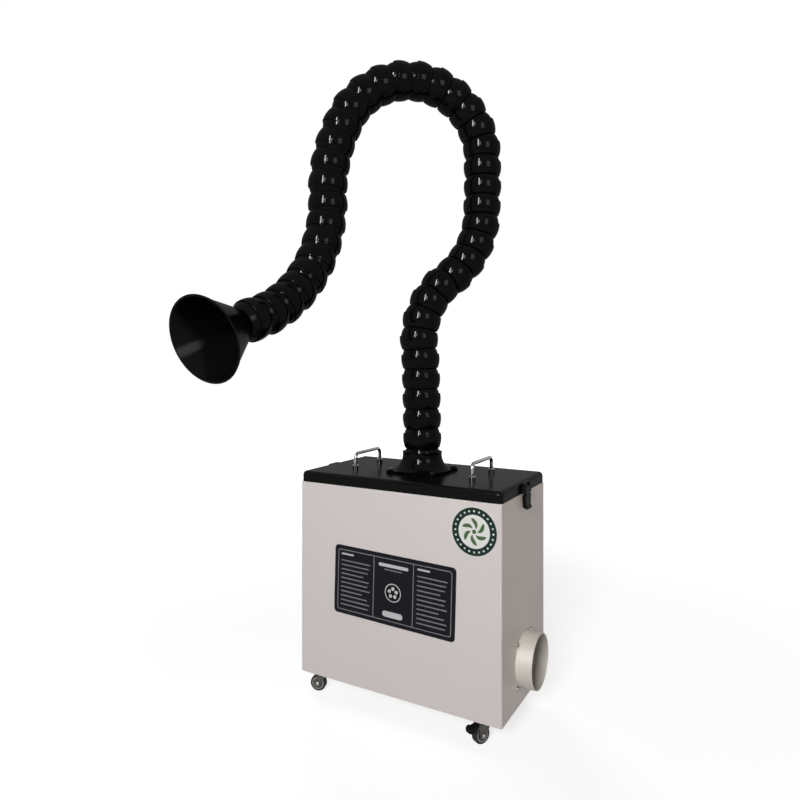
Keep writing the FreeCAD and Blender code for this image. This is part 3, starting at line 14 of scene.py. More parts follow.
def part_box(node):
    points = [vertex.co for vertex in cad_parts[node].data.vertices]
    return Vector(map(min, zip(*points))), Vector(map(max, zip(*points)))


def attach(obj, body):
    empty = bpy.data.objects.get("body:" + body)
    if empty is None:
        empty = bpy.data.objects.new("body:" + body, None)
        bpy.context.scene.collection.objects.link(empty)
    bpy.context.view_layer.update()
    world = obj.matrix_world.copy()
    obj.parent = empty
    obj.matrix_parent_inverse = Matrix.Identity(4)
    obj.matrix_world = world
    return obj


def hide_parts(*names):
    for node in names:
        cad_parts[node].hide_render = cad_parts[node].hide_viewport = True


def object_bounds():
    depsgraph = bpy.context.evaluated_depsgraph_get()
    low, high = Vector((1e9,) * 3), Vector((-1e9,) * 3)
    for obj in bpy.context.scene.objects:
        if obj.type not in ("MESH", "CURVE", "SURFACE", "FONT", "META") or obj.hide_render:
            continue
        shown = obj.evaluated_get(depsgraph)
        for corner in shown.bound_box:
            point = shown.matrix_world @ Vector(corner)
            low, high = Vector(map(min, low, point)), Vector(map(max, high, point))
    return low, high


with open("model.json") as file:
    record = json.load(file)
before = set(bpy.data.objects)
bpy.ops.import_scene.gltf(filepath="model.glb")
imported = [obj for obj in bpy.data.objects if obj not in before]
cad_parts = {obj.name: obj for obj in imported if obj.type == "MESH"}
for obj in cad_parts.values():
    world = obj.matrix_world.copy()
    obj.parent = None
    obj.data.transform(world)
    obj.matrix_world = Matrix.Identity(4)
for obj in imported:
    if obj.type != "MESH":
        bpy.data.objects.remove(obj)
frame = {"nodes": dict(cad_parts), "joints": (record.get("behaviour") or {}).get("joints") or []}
CAD_LOW, CAD_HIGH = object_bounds()
NODES = frame["nodes"]

bl_info = {
    "name": "Fume extractor looks",
    "version": (1, 0, 0),
    "blender": (4, 5, 0),
    "location": "View3D > Sidebar > Extractor",
    "description": "Finishes, printed plates, soft parts and studio for a portable fume extractor",
    "category": "Object",
}

# Places that the frame gives
SHELL_LOW, SHELL_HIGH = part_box("cabinet_shell")
MAT_LOW, MAT_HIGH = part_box("prefilter_mat")
SEAL_LOW, SEAL_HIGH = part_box("lid_gasket")
KNOB_LOW, KNOB_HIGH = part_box("speed_knob")
ROCKER_LOW, ROCKER_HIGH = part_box("power_rocker")
SCREWS_LOW, SCREWS_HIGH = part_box("outlet_screws")
# Ways to the right and out for who faces the front, the back or the right end
FRONT = ((1, 0, 0), (0, -1, 0))
BACK = ((-1, 0, 0), (0, 1, 0))
RIGHT_END = ((0, 1, 0), (1, 0, 0))
CASTERS = ("front_left", "front_right", "rear_left", "rear_right")
ARM_NODES = sorted(name for name in NODES if name.startswith("arm_links_"))

MM = 0.001
WHITE = (1, 1, 1, 1)
SHARP_ANGLE = math.radians(35)
# Under a half, so that the ends of a bar keep a short straight
BAR_ROUNDING = 0.49
# Where print starts, as a share of what it stands on, so that no gap shows under it
PRINT_ROOT = 0.5


# Settings that a user would change

def tint(label, text, value):
    return FloatVectorProperty(name=label, description=text, default=value, subtype="COLOR",
                               size=3, min=0, max=1)


def length(label, text, value):
    return FloatProperty(name=label, description=text, default=value, min=0, unit="LENGTH", precision=5)


def watts(label, text, value):
    return FloatProperty(name=label, description=text, default=value, min=0, unit="POWER")


class ExtractorColours(bpy.types.PropertyGroup):
    """Colours of the painted, moulded and printed surfaces."""

    cabinet: tint("Cabinet", "Powder coat of the cabinet", (0.74, 0.695, 0.68))
    outlet: tint("Outlet", "Cream paint of the outlet spigot", (0.70, 0.675, 0.61))
    lid: tint("Lid", "Stove enamel of the lid", (0.0013, 0.0013, 0.0015))
    arm: tint("Arm", "Moulded plastic of the arm and hood", (0.0025, 0.0025, 0.003))
    plastic: tint("Fittings", "Moulded plastic of latches and controls", (0.006, 0.006, 0.0065))
    chrome: tint("Chrome", "Plating of the handles", (0.23, 0.23, 0.24))
    zinc: tint("Zinc", "Plating of small steel parts", (0.50, 0.50, 0.51))
    screw: tint("Screw", "Plating of the outlet's screws", (0.27, 0.235, 0.205))
    fork: tint("Fork", "Dark plating of the caster forks", (0.075, 0.072, 0.068))
    sheet: tint("Sheet", "Galvanised sheet inside", (0.58, 0.59, 0.60))
    casting: tint("Casting", "Motor housing", (0.22, 0.23, 0.24))
    aluminium: tint("Aluminium", "Fan wheel", (0.66, 0.67, 0.68))
    hub: tint("Hub", "Cores of the wheels", (0.040, 0.039, 0.038))
    trim: tint("Trim", "Pale rings on the wheels and ends of the axles", (0.30, 0.295, 0.285))
    tyre: tint("Tyre", "Rubber of the wheels", (0.010, 0.010, 0.0105))
    foam: tint("Foam", "Seal under the lid", (0.035, 0.035, 0.037))
    fleece: tint("Fleece", "Filter mat", (0.78, 0.78, 0.76))
    board: tint("Board", "Frame and paper of the particle filter", (0.80, 0.79, 0.75))
    carbon: tint("Carbon", "Granules of the carbon filter", (0.03, 0.03, 0.032))
    plate: tint("Plate", "Black front plate", (0.006, 0.006, 0.010))
    print: tint("Print", "Pale print on plate and controls", (0.62, 0.62, 0.63))
    dim_print: tint("Dim print", "Fine pale lines on the plate", (0.23, 0.23, 0.24))
    sticker: tint("Sticker", "Field of the round sticker", (0.86, 0.88, 0.84))
    green: tint("Green", "Dark ring of the round sticker", (0.004, 0.022, 0.016))
    leaf: tint("Light green", "Motif of the round sticker", (0.085, 0.15, 0.065))


class ExtractorSizes(bpy.types.PropertyGroup):
    """Sizes of what is added to the frame, in metres."""

    plate_x: FloatProperty(
        name="Plate across", description="Middle of the front plate", default=-0.0015, unit="LENGTH")
    plate_z: length("Plate up", "Middle of the front plate", 0.242)
    plate_width: length("Plate width", "Width of the front plate", 0.2605)
    plate_height: length("Plate height", "Height of the front plate", 0.133)
    plate_lean: FloatProperty(
        name="Plate lean", description="How far the plate is stuck on askew",
        default=math.radians(-1.6), subtype="ANGLE")
    plate_corner: length("Plate corner", "Corner radius of the front plate", 0.008)
    plate_thickness: length("Plate thickness", "Thickness of the front plate", 0.0008)
    print_height: length("Print height", "How far print stands on a plate", 0.00012)
    frame_inset: length("Frame inset", "From the plate's edge to its printed frame", 0.0075)
    frame_line: length("Frame line", "Width of the printed frame", 0.0016)
    sticker_x: length("Sticker across", "Middle of the round sticker", 0.164)
    sticker_z: length("Sticker up", "Middle of the round sticker", 0.374)
    sticker_radius: length("Sticker radius", "Radius of the round sticker", 0.0423)
    seal_width: length("Seal width", "Width of the foam seal", 0.008)
    mat_edge: length("Mat edge", "Rounding of the filter mat's edges", 0.007)
    wheel_face: length("Wheel face", "From a wheel's middle to its face", 0.006)
    trim_radius: length("Trim radius", "Middle of the pale ring on a wheel's face", 0.011)
    trim_width: length("Trim width", "Width of the pale ring on a wheel's face", 0.0013)
    axle_face: length("Axle face", "From a wheel's middle to the end of its axle", 0.0095)
    cap_radius: length("Cap radius", "Radius of the domed end of an axle", 0.0034)
    screw_head: length("Screw head", "Radius of an outlet screw's head", 0.0042)
    recess_length: length("Recess length", "Length of the cross in a screw's head", 0.0030)
    recess_width: length("Recess width", "Width of the cross in a screw's head", 0.0007)
    mark_size: length("Mark size", "Height of the marks on the rocker", 0.0034)
    mark_line: length("Mark line", "Line width of the marks on the rocker", 0.0007)


class ExtractorStage(bpy.types.PropertyGroup):
    """Camera and light."""

    camera_place: FloatVectorProperty(
        name="Camera", description="Place of the camera", default=(0.616, -1.173, 0.680),
        subtype="XYZ", unit="LENGTH")
    camera_turn: FloatProperty(
        name="Turn", description="Turn of the level camera to the left",
        default=math.radians(29.66), subtype="ANGLE")
    camera_lens: FloatProperty(
        name="Lens", description="Focal length in millimetres", default=29.43, unit="CAMERA")
    camera_shift: FloatProperty(
        name="Shift", description="Shift of the frame, downward below nought", default=-0.0546)
    key_power: watts("Key", "Power of the key light", 81.0)
    spark_power: watts("Spark", "Power of the front light that only gloss shows", 320.0)
    side_power: watts("Side", "Power of the side light that only gloss shows", 42.0)
    fill_power: watts("Fill", "Power of the warm light that gloss doesn't show", 5.2)
    back_power: watts("Back", "Power of the light from behind that gloss doesn't show", 55.0)
    sky_level: FloatProperty(name="Sky", description="Level of the even light", default=0.09, min=0)


# Meshes

def new_object(name, bm, *finishes):
    """Turns a bmesh into an object that is smooth but for its sharp edges."""
    mesh = bpy.data.meshes.new(name)
    bmesh.ops.recalc_face_normals(bm, faces=bm.faces)
    for face in bm.faces:
        face.smooth = True
    for edge in bm.edges:
        if len(edge.link_faces) == 2 and edge.calc_face_angle() > SHARP_ANGLE:
            edge.smooth = False
    bm.to_mesh(mesh)
    bm.free()
    for label in finishes:
        mesh.materials.append(finish(label))
    piece = bpy.data.objects.new(name, mesh)
    bpy.context.scene.collection.objects.link(piece)
    return piece


def on_face(right, out, place):
    """Maps a flat design (right, up, out) to a face at a place."""
    right, out = Vector(right), Vector(out)
    return Matrix.Translation(place) @ Matrix((right, out.cross(right), out)).transposed().to_4x4()


def on_joint(name):
    """Maps a piece made on the Z axis to a joint's place and axis."""
    joint = next(joint for joint in frame["joints"] if joint["name"] == name)
    turn = Vector((0, 0, 1)).rotation_difference(Vector(joint["axis"]))
    return Matrix.Translation(joint["pos_m"]) @ turn.to_matrix().to_4x4()


def circle_points(radius, count, centre=(0, 0), start=0.0):
    """Points of a circle, anticlockwise."""
    step = 2 * math.pi / count
    angles = [start + i * step for i in range(count)]
    return [(centre[0] + radius * math.cos(a), centre[1] + radius * math.sin(a)) for a in angles]


def rounded_points(left, low, right, high, radius, steps=6):
    """Points of a rectangle with round corners, anticlockwise."""
    points = []
    for quarter, (x, y) in enumerate(((right, high), (left, high), (left, low), (right, low))):
        centre_x = x - math.copysign(radius, x - (left + right) / 2)
        centre_y = y - math.copysign(radius, y - (low + high) / 2)
        for step in range(steps + 1):
            angle = (quarter + step / steps) * math.pi / 2
            points.append((centre_x + radius * math.cos(angle), centre_y + radius * math.sin(angle)))
    return points


def add_loop(bm, points, level):
    """Flat points at a level."""
    return [bm.verts.new((x, y, level)) for x, y in points]


def add_walls(bm, loop, after, material=0):
    """Joins two loops of as many points by a band of faces."""
    count = len(loop)
    for i in range(count):
        face = bm.faces.new((loop[i], loop[(i + 1) % count], after[(i + 1) % count], after[i]))
        face.material_index = material


def add_stack(bm, loops, material=0):
    """Joins loops one after another, and closes the first and the last."""
    for loop, after in zip(loops, loops[1:]):
        add_walls(bm, loop, after, material)
    for loop in (loops[0], loops[-1]):
        bm.faces.new(loop).material_index = material


def add_band(bm, loops, material=0):
    """Joins loops one after another, and the last to the first."""
    for loop, after in zip(loops, loops[1:] + loops[:1]):
        add_walls(bm, loop, after, material)


def add_prism(bm, points, low, high, material=0, bevel=0.0):
    """A flat shape with upright walls and, if wanted, a small bevel round its top."""
    loops = [add_loop(bm, points, low), add_loop(bm, points, high - bevel)]
    if bevel:
        middle = Vector((sum(p[0] for p in points), sum(p[1] for p in points))) / len(points)
        drawn_in = [tuple(Vector(p) + (middle - Vector(p)).normalized() * bevel) for p in points]
        loops.append(add_loop(bm, drawn_in, high))
    add_stack(bm, loops, material)


def add_ring(bm, outer, inner, low, high, material=0):
    """A flat band between two outlines of as many points."""
    corners = ((outer, low), (outer, high), (inner, high), (inner, low))
    add_band(bm, [add_loop(bm, points, level) for points, level in corners], material)


def add_hoop(bm, outside, inside, count, low, high, material=0, centre=(0, 0)):
    """A flat band between two circles."""
    outer, inner = (circle_points(radius, count, centre) for radius in (outside, inside))
    add_ring(bm, outer, inner, low, high, material)


def add_dome(bm, radius, base, top, count=32, steps=5):
    """A low dome on a flat foot, as of a riveted end."""
    loops = []
    for step in range(steps):
        angle = step / steps * math.pi / 2
        level = base + (top - base) * math.sin(angle)
        loops.append(add_loop(bm, circle_points(radius * math.cos(angle), count), level))
    add_stack(bm, loops)


def add_bar(bm, left, low, right, high, base, top, material=0):
    """A plain bar with rounded ends."""
    radius = min(right - left, high - low) * BAR_ROUNDING
    add_prism(bm, rounded_points(left, low, right, high, radius, steps=3), base, top, material)


# Shared surface effects

# Sockets of a colour mix by number, because its names repeat for each type
MIX_FACTOR, MIX_FIRST, MIX_SECOND, MIX_RESULT = 0, 6, 7, 2
DUST_COLOUR = (0.42, 0.40, 0.37, 1)
DUST_SCALE = 160.0
LEAST_ROUGHNESS = 0.02
STREAK_STRETCH = (0.06, 1.0, 1.0)


def feed(tree, value, socket):
    """Links a socket to the node that gives its value, or sets it to a plain value."""
    if isinstance(value, bpy.types.NodeSocket):
        tree.links.new(value, socket)
    else:
        socket.default_value = value


def add_place(tree):
    """The place of a point in the frame."""
    return tree.nodes.new("ShaderNodeTexCoord").outputs["Object"]


def add_noise(tree, place, scale, detail, roughness=0.5):
    texture = tree.nodes.new("ShaderNodeTexNoise")
    for label, value in (("Vector", place), ("Scale", scale), ("Detail", detail), ("Roughness", roughness)):
        feed(tree, value, texture.inputs[label])
    return texture.outputs["Fac"]


def add_math(tree, operation, *values):
    node = tree.nodes.new("ShaderNodeMath")
    node.operation = operation
    for value, socket in zip(values, node.inputs):
        feed(tree, value, socket)
    return node.outputs[0]


def add_mix(tree, factor, first, second):
    node = tree.nodes.new("ShaderNodeMix")
    node.data_type = "RGBA"
    for number, value in ((MIX_FACTOR, factor), (MIX_FIRST, first), (MIX_SECOND, second)):
        feed(tree, value, node.inputs[number])
    return node.outputs[MIX_RESULT]


def add_seen(tree):
    """1 for what the camera sees, straight, in gloss or through glass, and 0 for light on its way."""
    path = tree.nodes.new("ShaderNodeLightPath").outputs
    seen = add_math(tree, "MAXIMUM", path["Is Camera Ray"], path["Is Glossy Ray"])
    return add_math(tree, "MAXIMUM", seen, path["Is Transmission Ray"])


def make_grain(tree, given):
    """Fine grain, as of powder coat or spark-eroded moulds."""
    return add_noise(tree, add_place(tree), given["Scale"], detail=3.0, roughness=0.6)


def make_patches(tree, given):
    """Slow changes of colour over a surface, and dust that settles on what faces up."""
    place = add_place(tree)
    slow = add_noise(tree, place, given["Scale"], detail=4.0)
    swing = add_math(tree, "SUBTRACT", slow, 0.5)
    factor = add_math(tree, "MULTIPLY_ADD", swing, given["Spread"], 1.0)
    scaled = tree.nodes.new("ShaderNodeVectorMath")
    scaled.operation = "SCALE"
    feed(tree, given["Color"], scaled.inputs[0])
    feed(tree, factor, scaled.inputs["Scale"])
    normal = tree.nodes.new("ShaderNodeSeparateXYZ")
    feed(tree, tree.nodes.new("ShaderNodeNewGeometry").outputs["Normal"], normal.inputs[0])
    upward = add_math(tree, "MAXIMUM", normal.outputs["Z"], 0.0)
    speckle = add_noise(tree, place, DUST_SCALE, detail=5.0, roughness=0.7)
    settled = add_math(tree, "MULTIPLY", upward, speckle)
    dusty = add_math(tree, "MULTIPLY", settled, given["Dust"])
    return add_mix(tree, dusty, scaled.outputs[0], DUST_COLOUR)


def make_smudges(tree, given):
    """Gloss that changes from place to place, as of handled or wiped surfaces."""
    slow = add_noise(tree, add_place(tree), given["Scale"], detail=6.0, roughness=0.62)
    swing = add_math(tree, "SUBTRACT", slow, 0.5)
    level = add_math(tree, "MULTIPLY_ADD", swing, given["Spread"], given["Roughness"])
    return add_math(tree, "MAXIMUM", level, LEAST_ROUGHNESS)


def make_streaks(tree, given):
    """Drawn-out streaks of rolled or brushed metal."""
    stretch = tree.nodes.new("ShaderNodeMapping")
    stretch.inputs["Scale"].default_value = STREAK_STRETCH
    feed(tree, add_place(tree), stretch.inputs["Vector"])
    return add_noise(tree, stretch.outputs[0], given["Scale"], detail=4.0)


def make_pleats(tree, given):
    """Pleats of filter paper."""
    wave = tree.nodes.new("ShaderNodeTexWave")
    wave.bands_direction = "X"
    feed(tree, given["Scale"], wave.inputs["Scale"])
    feed(tree, add_place(tree), wave.inputs["Vector"])
    return wave.outputs["Fac"]


# What makes each group, what it gives, and what it is given
GROUPS = {
    "Fine grain": (make_grain, "Height", dict(Scale=900.0)),
    "Patches and dust": (make_patches, "Color", dict(Color=WHITE, Spread=0.05, Scale=12.0, Dust=0.0)),
    "Smudged gloss": (make_smudges, "Roughness", dict(Roughness=0.4, Spread=0.15, Scale=18.0)),
    "Rolled streaks": (make_streaks, "Height", dict(Scale=300.0)),
    "Pleats": (make_pleats, "Height", dict(Scale=60.0)),
}


def add_socket(group, label, way):
    """A socket of a group: a colour if it is named so, or else a number."""
    kind = "NodeSocketColor" if label == "Color" else "NodeSocketFloat"
    return group.interface.new_socket(name=label, in_out=way, socket_type=kind)


def new_group(name):
    make, output, inputs = GROUPS[name]
    group = bpy.data.node_groups.new(name, "ShaderNodeTree")
    for label, value in inputs.items():
        add_socket(group, label, "INPUT").default_value = value
    add_socket(group, output, "OUTPUT")
    given = group.nodes.new("NodeGroupInput").outputs
    feed(group, make(group, given), group.nodes.new("NodeGroupOutput").inputs[output])
    return group


def place_group(tree, name, **values):
    """Puts a shared group into a material, with its own values."""
    node = tree.nodes.new("ShaderNodeGroup")
    node.node_tree = bpy.data.node_groups.get(name) or new_group(name)
    for label, value in values.items():
        node.inputs[label].default_value = value
    return node


# Finishes

PLAIN = dict(
    metallic=0.0, specular=0.5, coat=0.0, coat_roughness=0.1, sheen=0.0, spread=0.06, patch=14, dust=0.0,
    smudge=0.12, relief="Fine grain", scale=900, depth=0.00004, strength=0.35)
ARM = dict(specular=0.0, spread=0.3, patch=20, dust=0.008, scale=420, strength=0.05)
INK = dict(specular=0.1, spread=0.12, patch=400, scale=2600, strength=0.1)
# The screw recess ink is painted shade: black in place of the shade inside a cross recess
INKS = {
    "Screw recess": "tyre", "Dial print": "plastic", "Pointer print": "print", "Rocker print": "print",
    "Dim print": "dim_print", "Pale print": "print", "Sticker field": "sticker", "Sticker green": "green",
    "Sticker light green": "leaf",
}


def look(colour, roughness, **changes):
    """A finish in one of the settings' colours, with what differs from the plain finish."""
    return {**PLAIN, "colour": colour, "roughness": roughness, **changes}


FINISHES = {
    "Powder coat": look("cabinet", 0.46, spread=0.035, patch=6, dust=0.05, smudge=0.10, scale=1500,
        depth=0.00006, strength=0.30),
    "Outlet paint": look("outlet", 0.50, spread=0.05, patch=16, dust=0.04, scale=1100, depth=0.00005,
        strength=0.25),
    "Stove enamel": look("lid", 0.45, specular=0.0, coat=0.14, coat_roughness=0.20, spread=0.25, patch=9,
        dust=0.02, smudge=0.10, scale=700, strength=0.12),
    "Arm plastic": look("arm", 0.5, coat=0.09, coat_roughness=0.09, **ARM),
    "Hood plastic": look("arm", 0.5, coat=0.10, coat_roughness=0.18, **ARM),
    "Fitting plastic": look("plastic", 0.5, specular=0.0, coat=0.16, coat_roughness=0.3, spread=0.2,
        patch=40, dust=0.015, scale=1800, depth=0.00005, strength=0.4),
    "Rocker plastic": look("plastic", 0.4, specular=0.1, coat=0.4, spread=0.15, patch=60, strength=0.05),
    "Chrome": look("chrome", 0.07, metallic=1.0, spread=0.04, patch=60, smudge=0.06, scale=300,
        strength=0.03),
    "Zinc plating": look("zinc", 0.36, metallic=1.0, spread=0.25, patch=180, smudge=0.25, scale=800,
        strength=0.15),
    "Screw plating": look("screw", 0.24, metallic=1.0, spread=0.3, patch=260, smudge=0.2, strength=0.1),
    "Black steel": look("plastic", 0.45, specular=0.1, coat=0.2, coat_roughness=0.25, spread=0.3, patch=200,
        strength=0.15),
    "Fork steel": look("fork", 0.34, metallic=0.9, spread=0.35, patch=120, dust=0.04, smudge=0.25,
        scale=600, strength=0.2),
    "Wheel trim": look("trim", 0.42, metallic=0.6, spread=0.3, patch=200, dust=0.1, smudge=0.2,
        strength=0.15),
    "Galvanised sheet": look("sheet", 0.42, metallic=0.85, spread=0.4, patch=70, dust=0.12, smudge=0.3,
        relief="Rolled streaks", scale=420, strength=0.2),
    "Motor casting": look("casting", 0.55, metallic=0.4, spread=0.3, patch=90, dust=0.15, scale=500,
        depth=0.0001, strength=0.5),
    "Fan aluminium": look("aluminium", 0.38, metallic=1.0, spread=0.2, patch=60, dust=0.1,
        relief="Rolled streaks", scale=500, strength=0.2),
    "Hub plastic": look("hub", 0.48, spread=0.2, patch=150, dust=0.1, scale=1200),
    "Tyre rubber": look("tyre", 0.68, specular=0.2, spread=0.5, patch=140, dust=0.08, scale=700,
        depth=0.0001, strength=0.5),
    "Seal foam": look("foam", 0.85, sheen=0.15, spread=0.3, patch=120, dust=0.1, scale=1400, depth=0.0003,
        strength=0.8),
    "Filter fleece": look("fleece", 0.95, sheen=0.3, spread=0.22, patch=45, dust=0.25, scale=520,
        depth=0.0008, strength=0.9),
    "Filter paper": look("board", 0.8, spread=0.1, patch=30, relief="Pleats", scale=60, depth=0.004,
        strength=0.9),
    "Carbon granules": look("carbon", 0.55, spread=0.9, patch=260, scale=320, depth=0.002, strength=1.0),
    "Plate black": look("plate", 0.45, specular=0.0, coat=0.2, coat_roughness=0.22, spread=0.2, patch=25,
        smudge=0.1, scale=1600, strength=0.08),
    **{name: look(colour, 0.5, **INK) for name, colour in INKS.items()},
}
# Values that are the same all over a surface, and the shader's own sockets for them
EVEN_VALUES = {
    "metallic": "Metallic", "specular": "Specular IOR Level", "coat": "Coat Weight",
    "coat_roughness": "Coat Roughness", "sheen": "Sheen Weight",
}


def new_material(name, values):
    """A new material with values on its shader's sockets, its tree and its shader."""
    material = bpy.data.materials.new(name)
    material.use_nodes = True
    shader = material.node_tree.nodes["Principled BSDF"]
    for label, value in values.items():
        shader.inputs[label].default_value = value
    return material, material.node_tree, shader


def finish(name):
    """A material from one colour, with slow patches, smudged gloss and a fine relief."""
    found = bpy.data.materials.get(name)
    if found:
        return found
    values = FINISHES[name]
    colour = getattr(bpy.context.scene.extractor_colours, values["colour"])
    even = {socket: values[label] for label, socket in EVEN_VALUES.items()}
    material, tree, shader = new_material(name, even)
    patches = place_group(tree, "Patches and dust", Color=(*colour, 1), Spread=values["spread"],
                          Scale=values["patch"], Dust=values["dust"])
    gloss = place_group(tree, "Smudged gloss", Roughness=values["roughness"], Spread=values["smudge"])
    surface = place_group(tree, values["relief"], Scale=values["scale"])
    bump = tree.nodes.new("ShaderNodeBump")
    bump.inputs["Strength"].default_value = values["strength"]
    bump.inputs["Distance"].default_value = values["depth"]
    feed(tree, patches.outputs["Color"], shader.inputs["Base Color"])
    feed(tree, gloss.outputs["Roughness"], shader.inputs["Roughness"])
    feed(tree, surface.outputs["Height"], bump.inputs["Height"])
    feed(tree, bump.outputs["Normal"], shader.inputs["Normal"])
    return material


def dress(name, *nodes):
    """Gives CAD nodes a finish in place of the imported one."""
    for node in nodes:
        for slot in NODES[node].material_slots:
            slot.material = finish(name)


# Operators, one for each group of pieces

class Step:
    """What all operators share: they can be undone."""
    bl_options = {"REGISTER", "UNDO"}


class EXTRACTOR_OT_cabinet(Step, bpy.types.Operator):
    """Powder coat on the cabinet's walls and floor, paint on the outlet, cross-head screws round it with
    painted shade: a flat black cross stands in for the shade in each recess
    """
    bl_idname = "extractor.cabinet"
    bl_label = "Cabinet"

    # One bar of a cross is the lower, so that their tops don't share a plane
    LOWER_BAR = 0.8

    def execute(self, context):
        size = context.scene.extractor_sizes
        dress("Powder coat", "cabinet_shell", "base_pan")
        dress("Outlet paint", "outlet_collar")
        dress("Screw plating", "outlet_screws")
        # Painted shade: a flat black cross on each screw's head stands in for the shade inside its cross
        # recess
        bm = bmesh.new()
        reach = size.recess_length / 2
        half = size.recess_width / 2
        height = size.print_height
        for y in (SCREWS_LOW.y + size.screw_head, SCREWS_HIGH.y - size.screw_head):
            for z in (SCREWS_LOW.z + size.screw_head, SCREWS_HIGH.z - size.screw_head):
                add_bar(bm, y - reach, z - half, y + reach, z + half, -height, height)
                add_bar(bm, y - half, z - reach, y + half, z + reach, -height, height * self.LOWER_BAR)
        recess_shades = new_object("screw_recesses", bm, "Screw recess")
        recess_shades.data.transform(on_face(*RIGHT_END, (SCREWS_HIGH.x, 0, 0)))
        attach(recess_shades, "cabinet")
        return {"FINISHED"}


class EXTRACTOR_OT_lid(Step, bpy.types.Operator):
    """Black enamel on the lid, chrome on handles and ferrules"""
    bl_idname = "extractor.lid"
    bl_label = "Lid and handles"

    def execute(self, context):
        dress("Stove enamel", "lid")
        dress("Chrome", "handle_left", "handle_right", "handle_ferrules")
        dress("Zinc plating", "handle_screws")
        return {"FINISHED"}


class EXTRACTOR_OT_latches(Step, bpy.types.Operator):
    """Moulded levers and brackets, black pins and plated keepers"""
    bl_idname = "extractor.latches"
    bl_label = "Latches"

    def execute(self, context):
        dress("Fitting plastic", "latch_brackets", "latch_lever_left", "latch_lever_right")
        dress("Black steel", "latch_pins")
        dress("Zinc plating", "latch_keepers")
        return {"FINISHED"}


class EXTRACTOR_OT_arm(Step, bpy.types.Operator):
    """Black plastic, glossy on flange and links and duller on the hood"""
    bl_idname = "extractor.arm"
    bl_label = "Arm and hood"

    def execute(self, context):
        dress("Arm plastic", "arm_base_flange", *ARM_NODES)
        dress("Hood plastic", "hood")
        dress("Black steel", "flange_bolts")
        return {"FINISHED"}


class EXTRACTOR_OT_casters(Step, bpy.types.Operator):
    """Forks, wheels and pedals of the four casters, with pale rings on the wheels and domed axle ends"""
    bl_idname = "extractor.casters"
    bl_label = "Casters"

    RING_STEPS = 48
    # Rise of an axle's domed end as a share of its radius
    CAP_RISE = 0.3

    def execute(self, context):
        size = context.scene.extractor_sizes
        dress("Zinc plating", "caster_plates")
        for corner in CASTERS:
            dress("Fork steel", "caster_fork_" + corner)
            dress("Hub plastic", "caster_hub_" + corner)
            dress("Tyre rubber", "caster_tyre_" + corner)
            if "brake_pedal_" + corner in NODES:
                dress("Fitting plastic", "brake_pedal_" + corner)
            self.trim(size, corner)
            self.caps(size, corner)
        return {"FINISHED"}

    def trim(self, size, corner):
        """A thin pale ring on both faces of a wheel."""
        bm = bmesh.new()
        outside = size.trim_radius + size.trim_width / 2
        inside = size.trim_radius - size.trim_width / 2
        low = size.wheel_face - size.print_height
        high = size.wheel_face + size.print_height
        for side in (-1, 1):
            add_hoop(bm, outside, inside, self.RING_STEPS, side * low, side * high)
        ring = new_object("wheel_trim_" + corner, bm, "Wheel trim")
        ring.data.transform(on_joint("wheel_roll_" + corner))
        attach(ring, "wheel_" + corner)

    def caps(self, size, corner):
        """Domed ends on a riveted axle."""
        bm = bmesh.new()
        top = size.axle_face + size.cap_radius * self.CAP_RISE
        for side in (-1, 1):
            add_dome(bm, size.cap_radius, side * size.axle_face, side * top)
        caps = new_object("axle_caps_" + corner, bm, "Wheel trim")
        caps.data.transform(on_joint("wheel_roll_" + corner))
        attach(caps, "swivel_" + corner)


class EXTRACTOR_OT_fan(Step, bpy.types.Operator):
    """Fan wheel, motor, bracket and the sheet metal round them"""
    bl_idname = "extractor.fan"
    bl_label = "Fan"

    def execute(self, context):
        dress("Galvanised sheet", "fan_deck", "inlet_ring", "motor_bracket")
        dress("Motor casting", "fan_motor")
        dress("Fan aluminium", "fan_impeller")
        return {"FINISHED"}


